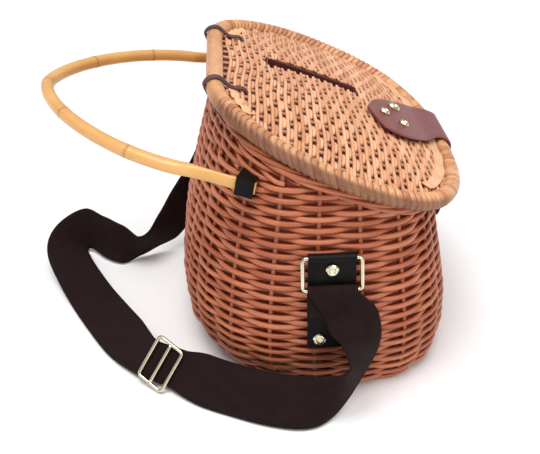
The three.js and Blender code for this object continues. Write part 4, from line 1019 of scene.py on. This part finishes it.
def tieCords(place):
    # two cords side by side: up behind the back rod, over it, and down through the lid's weave
    share = np.linspace(0.1, 0.4, 3001)
    z = lidCutHeight(share, border["below"])
    middle, _ = onWall(share, z, 0 * z)
    at = middle[np.argmin(np.abs(middle[:, 0] - place))]
    rod = np.array([body["hingeY"], body["height"]])
    low = at[1:]
    heading = math.atan2(*(low - rod)[::-1])
    lowR, rodR = 4.5 + 0.6 + ties["radius"], 7 + 0.5 + ties["radius"]
    under = np.linspace(heading - 1.2, heading + 1.9, 14)
    path = [low + lowR * np.array([math.cos(a), math.sin(a)]) for a in under]
    for a in np.linspace(0.35, math.radians(132), 14):
        path.append(rod + rodR * np.array([math.cos(a), math.sin(a)]))
    for run in (12.0, 17.0, 22.0, ties["tail"]):
        h = float(domeHeight(np.array(place), np.array(run)))
        above = 2.6 + ties["radius"] - (5.0 if run == ties["tail"] else 0)
        spot = toWorld(np.array([place, -run, h + above]))
        path.append(spot[1:])
    path = np.array(path)
    path = spline(np.concatenate([np.zeros((len(path), 1)), path], 1), 5)
    parts = []
    for offset in (-ties["gap"], ties["gap"]):
        squeeze = 1 - 0.35 * smooth(np.linspace(0, 1, len(path)), 0.75, 1.0)
        line = path + np.stack([place + offset * squeeze, 0 * squeeze, 0 * squeeze], -1)
        across = np.broadcast_to([1.0, 0, 0], line.shape)[None]
        cord = tubes(line[None], across, ties["radius"], ties["radius"], 12, False)
        cord[2]["edge"] = 0 * cord[2]["turn"]
        parts.append(cord)
    return gather(parts), rod


for label, place in (("near", ties["places"][0]), ("far", ties["places"][1])):
    (points, faces, marks), rod = tieCords(place)
    cords = newMesh(f"{label}_tie_cords", points, faces, cordLeather, None, marks,
                    (f"{label}_hinge_tie", f"{label}_hinge_tail"))
    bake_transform(cords)
print("latch and ties")

fittings = {"wire": 1.5, "corner": 3.0, "tabTop": 140, "tabY": 9.5, "tabThick": 4.0, "ringDrop": 25,
            "ringLean": math.radians(14), "gap": 0.3}
strap = {
    "width": 42, "thick": 2.0, "tail": 24, "bunching": 0.9, "slideAt": 0.42593, "slideLength": 26,
    "slideSkew": math.radians(18), "slideGather": 0.82,
    "route": [  # side, depth, height, tilt, heading, as in the model
        (-1.064, -0.036, 2.199, -15, 90),
        (-1.091, -0.068, 1.948, -1, 106),
        (-1.12, -0.098, 1.702, 20, 123),
        (-1.102, -0.101, 1.257, 33, 138),
        (-1.109, -0.073, 0.957, 47, 153),
        (-1.139, -0.009, 0.78, 63, 157),
        (-1.146, 0.082, 0.584, 82, 131),
        (-1.162, 0.209, 0.522, 73, 7),
        (-1.134, 0.373, 0.466, 57, 1),
        (-1.086, 0.555, 0.446, 55, -5),
        (-1.024, 0.74, 0.449, 57, -10),
        (-0.952, 0.915, 0.446, 56, -22),
        (-0.885, 1.05, 0.446, 55, -42),
        (-0.834, 1.155, 0.452, 56, -60),
        (-0.792, 1.248, 0.452, 56, -60),
        (-0.75, 1.341, 0.452, 56, -60),
        (-0.633, 1.458, 0.38, 43, -70),
        (-0.46, 1.588, 0.29, 30, -63),
        (-0.254, 1.732, 0.198, 19, -63),
        (-0.031, 1.886, 0.14, 10, -70),
        (0.165, 2.025, 0.223, 1, -73),
        (0.347, 2.14, 0.353, -8, -78),
        (0.487, 2.173, 0.37, -25, -90),
        (0.578, 2.132, 0.412, -48, -114),
        (0.607, 2.021, 0.545, -64, -169),
        (0.503, 1.859, 0.525, -64, 178),
        (0.394, 1.681, 0.53, -82, 155),
        (0.389, 1.534, 0.47, -57, 4),
        (0.418, 1.414, 0.58, -50, -13),
        (0.473, 1.279, 0.822, -55, -45),
        (0.582, 1.132, 1.256, -52, -59),
        (0.713, 0.994, 1.723, -55, -49),
        (0.854, 0.9, 2.0, -72, -60),
        (0.994, 0.693, 2.12, -78, -80),
        (1.085, 0.45, 2.11, -62, -88),
        (1.11, 0.225, 2.11, -35, -90),
        (1.104, 0.113, 2.31, -10, -90)],
}
fold = fittings["wire"] + fittings["gap"] + fittings["tabThick"] / 2


def barPlace():
    # the ring's upper bar lies in the fold at the top of the tab
    z = fittings["tabTop"] - fold
    half = np.interp(z / body["height"], body["shares"][:, 0], body["shares"][:, 1]) * body["width"] / 2
    return np.array([half + fittings["gap"] + fold, fittings["tabY"], z])


bar = barPlace()
ringHalf = strap["width"] * strap["bunching"] / 2 + fittings["gap"] + fittings["corner"]


def roundedLoop(halfLength, halfWidth, corner, steps=10):
    # a rectangle with round corners, first along its length, second across
    parts = []
    for sa, sw, start in ((1, 1, 0), (-1, 1, 0.5), (-1, -1, 1), (1, -1, 1.5)):
        a = (start + np.linspace(0, 0.5, steps)) * np.pi
        lengthwise = sa * (halfLength - corner) + corner * np.cos(a)
        parts.append(np.stack([lengthwise, sw * (halfWidth - corner) + corner * np.sin(a)], -1))
    return np.concatenate(parts)


def wireAlong(line, outward, closed):
    # a round section carried along the line
    normals = np.broadcast_to(outward, line.shape)[None]
    part = tubes(line[None], normals, fittings["wire"], fittings["wire"], 14, closed)
    part[2]["edge"] = 0 * part[2]["turn"]
    return part


lean = fittings["ringLean"]
for side, label in ((-1, "near"), (1, "far")):
    loop = roundedLoop(fittings["ringDrop"] / 2, ringHalf, fittings["corner"])
    down, across = loop[:, 0] - fittings["ringDrop"] / 2, loop[:, 1]
    outX = side * (bar[0] - down * math.sin(lean))
    line = np.stack([outX, bar[1] + across, bar[2] + down * math.cos(lean)], -1)
    points, faces, marks = gather([wireAlong(line, [side * math.cos(lean), 0, math.sin(lean)], True)])
    newMesh(f"{label}_ring_wire", points, faces, paleGold, "basket", marks, (f"{label}_strap_ring",))


def strapLoop(side):
    # the strap's end: a short tail and half a turn round the ring's lower bar
    low = np.array([side * (bar[0] + fittings["ringDrop"] * math.sin(lean)), bar[1],
                    bar[2] - fittings["ringDrop"] * math.cos(lean)])
    r = fittings["wire"] + fittings["gap"] + strap["thick"] / 2
    rows = [(-r + t * (r - strap["thick"] / 2 - fittings["gap"]), -t * strap["tail"]) for t in (1, 0.5)]
    rows += [(r * math.cos(a), r * math.sin(a)) for a in np.linspace(math.pi, 0, 7)]
    places = [[low[0] + side * (o * math.cos(lean) - u * math.sin(lean) * 0.2), low[1],
               low[2] + u * math.cos(lean * 0.2) + o * math.sin(lean) * 0.2] for o, u in rows]
    return np.concatenate([np.array(places), np.tile([0.0, -side, 0.0], (9, 1))], 1)


def strapLine(steps):
    route = np.array(strap["route"], float)
    tilt, heading = np.radians(route[:, 3]), np.radians(route[:, 4])
    places = route[:, :3] * [body["width"] / 2, body["depth"] / 2, strap["width"]]
    across = np.stack([np.cos(tilt) * np.cos(heading), np.cos(tilt) * np.sin(heading), np.sin(tilt)], -1)
    stations = np.concatenate([strapLoop(-1), np.concatenate([places, across], 1), strapLoop(1)[::-1]])
    line = spline(stations[:, :3], steps)
    wide = spline(stations[:, 3:], steps)
    along = unit(np.gradient(line, axis=0))
    wide = unit(wide)
    spot = np.linspace(0, len(stations) - 1, len(line))
    fromEnd = np.minimum(spot, len(stations) - 1 - spot)
    fromSlide = np.abs(spot - strap["slideAt"] * (len(stations) - 1))
    width = strap["width"] * (strap["bunching"] + (1 - strap["bunching"]) * smooth(fromEnd, 8, 11))
    width = width * (strap["slideGather"] + (1 - strap["slideGather"]) * smooth(fromSlide, 1, 3))
    return line, along, wide, unit(np.cross(along, wide)), width, spot / (len(stations) - 1)


def webbingStrap():
    # a flat woven band: a long rounded section carried along the route
    line, along, wide, normal, width, _ = strapLine(12)
    section = np.concatenate([np.linspace(-1, 1, 19), np.linspace(1, -1, 19)])
    side = np.concatenate([np.ones(19), -np.ones(19)])
    edge = np.clip((1 - np.abs(section)) / 0.05, 0, 1)
    thick = strap["thick"] / 2 * side * (0.35 + 0.65 * np.sqrt(1 - (1 - edge) ** 2))
    points = (line[:, None] + wide[:, None] * (section[None, :, None] * width[:, None, None] / 2)
              + normal[:, None] * thick[None, :, None])
    rows, count = points.shape[:2]
    index = np.arange(rows * count).reshape(rows, count)
    here, there = index[:-1], index[1:]
    faces = [np.stack([here, there, np.roll(there, -1, 1), np.roll(here, -1, 1)], -1).reshape(-1, 4)]
    half = count // 2
    for row, flip in ((0, 1), (rows - 1, -1)):
        a, b = index[row, :half], index[row, :half - 1:-1]
        faces.append(np.stack([a[:-1], a[1:], b[1:], b[:-1]], -1)[:, ::flip])
    length = np.cumsum(np.linalg.norm(np.diff(line, axis=0, prepend=line[:1]), axis=1))
    marks = {"along": np.repeat(length[:, None], count, 1), "across": section[None] * width[:, None] / 2}
    return points, faces, marks


points, faces, marks = webbingStrap()
newMesh("strap_webbing", points, faces, brownWebbing, "basket", marks, ("shoulder_strap",))


def slidePiece():
    # a round-cornered wire frame with a middle bar, laid over the strap a little askew
    line, along, wide, normal, _, spot = strapLine(12)
    at = np.argmin(np.abs(spot - strap["slideAt"]))
    p, a, n = line[at], along[at], normal[at]
    w = np.cross(n, a) * np.sign(np.cross(n, a) @ wide[at])
    cs, sn = math.cos(strap["slideSkew"]), math.sin(strap["slideSkew"])
    a, w = a * cs + w * sn, w * cs - a * sn
    off = -(strap["thick"] / 2 + 3 * fittings["gap"] + fittings["wire"])
    half = strap["width"] * strap["slideGather"] / 2 + fittings["gap"] + fittings["wire"]
    loop = roundedLoop(strap["slideLength"] / 2, half, fittings["corner"])
    frameLine = p + loop[:, :1] * a + loop[:, 1:] * w + off * n
    barLine = p + np.linspace(-half, half, 12)[:, None] * w + off * n
    return gather([wireAlong(frameLine, n, True), wireAlong(barLine, n, False)])


points, faces, marks = slidePiece()
newMesh("slide_wire", points, faces, paleGold, "basket", marks, ("slide_buckle",))
print("strap and slide")

# the leather collar of the slot, high on its far side and hidden by the rods on its near side
collar = {"length": 83.6, "width": 18.8, "corner": 3.0, "half": 3.4, "thick": 0.7, "rise": 1.2, "drop": 3.4}


def slotCollar():
    loop = roundedLoop(collar["length"] / 2, collar["width"] / 2, collar["corner"], 12)
    x = sum(lid["slot"]) / 2 + loop[:, 1]
    run = sum(lid["slotRun"]) / 2 + loop[:, 0]
    lift = collar["rise"] * loop[:, 1] / collar["width"] * 2 - collar["drop"]
    line = toWorld(np.stack([x, -run, domeHeight(x, run) + lift], -1))
    outward = turned(unit(np.stack([loop[:, 1] * 4, -loop[:, 0], 0 * x], -1)))
    ring = tubes(line[None], outward[None], collar["half"], collar["thick"], 16, True, 0.35)
    # painted shade on the collar's inner side, in the slot
    ring[2]["edge"] = 0.9 * smooth(-np.broadcast_to(ring[2]["out"], ring[0].shape[:3]), -0.2, 0.6)
    return ring


points, faces, marks = gather([slotCollar()])
newMesh("slot_collar", points, faces, brownLeather, "lid", marks, ("slot_trim",))

# CAD pieces that keep their own shape
finishes = {"side_tab": blackLeather, "handle_lashing": blackLeather, "rivet": paleGold, "stud": paleGold,
            "latch_cap": paleGold, "latch_socket": paleGold}
for name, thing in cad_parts.items():
    for key, finish in finishes.items():
        if key in name:
            for holder in thing.material_slots:
                holder.material = finish

view = {"lens": 59.98, "elevation": 29.2, "azimuth": -92.6, "roll": -1.0, "place": (-0.7285, 0.0805, 0.4791)}
floorMesh = bpy.data.meshes.new("floor")
half, low = 6, -0.0006  # metres, a little under the strap
corners = [(-half, -half, low), (half, -half, low), (half, half, low), (-half, half, low)]
floorMesh.from_pydata(corners, [], [(0, 1, 2, 3)])
floor = bpy.data.objects.new("floor", floorMesh)
scene.collection.objects.link(floor)
paper = bpy.data.materials.new("whitePaper")
paper.use_nodes = True
paper.node_tree.nodes["Principled BSDF"].inputs["Base Color"].default_value = (0.93, 0.93, 0.93, 1)
paper.node_tree.nodes["Principled BSDF"].inputs["Roughness"].default_value = 0.9
floorMesh.materials.append(paper)

world = bpy.data.worlds.new("studio")
scene.world = world
world.use_nodes = True
world.node_tree.nodes["Background"].inputs["Color"].default_value = (1, 1, 1, 1)
world.node_tree.nodes["Background"].inputs["Strength"].default_value = 0.5

sun = bpy.data.lights.new("sky", "SUN")
sun.energy, sun.angle = 2.3, math.radians(38)
sunHolder = bpy.data.objects.new("sky", sun)
scene.collection.objects.link(sunHolder)
sunHolder.rotation_euler = (math.radians(-8), math.radians(-14), 0)
panel = bpy.data.lights.new("panel", "AREA")
panel.size, panel.energy = 0.9, 5.0
panelHolder = bpy.data.objects.new("panel", panel)
scene.collection.objects.link(panelHolder)
panelHolder.location = (-1.1, -0.7, 0.9)
panelHolder.rotation_euler = Vector((1.1, 0.7, -0.78)).to_track_quat("-Z", "Y").to_euler()

camera = bpy.data.cameras.new("camera")
camera.lens, camera.sensor_width, camera.sensor_fit = view["lens"], 36.0, "HORIZONTAL"
cameraObject = bpy.data.objects.new("camera", camera)
scene.collection.objects.link(cameraObject)
scene.camera = cameraObject
e, a, r = (math.radians(view[k]) for k in ("elevation", "azimuth", "roll"))
back = np.array([math.sin(a) * math.cos(e), -math.cos(a) * math.cos(e), math.sin(e)])
right = unit(np.cross(-back, [0, 0, 1.0]))
up = np.cross(right, -back)
right, up = right * math.cos(r) + up * math.sin(r), up * math.cos(r) - right * math.sin(r)
turn = Matrix(np.stack([right, up, back], 1).tolist())
cameraObject.location = view["place"]
cameraObject.rotation_euler = turn.to_euler()
camera.clip_start, camera.clip_end = 0.01, 20

print("scene ready")
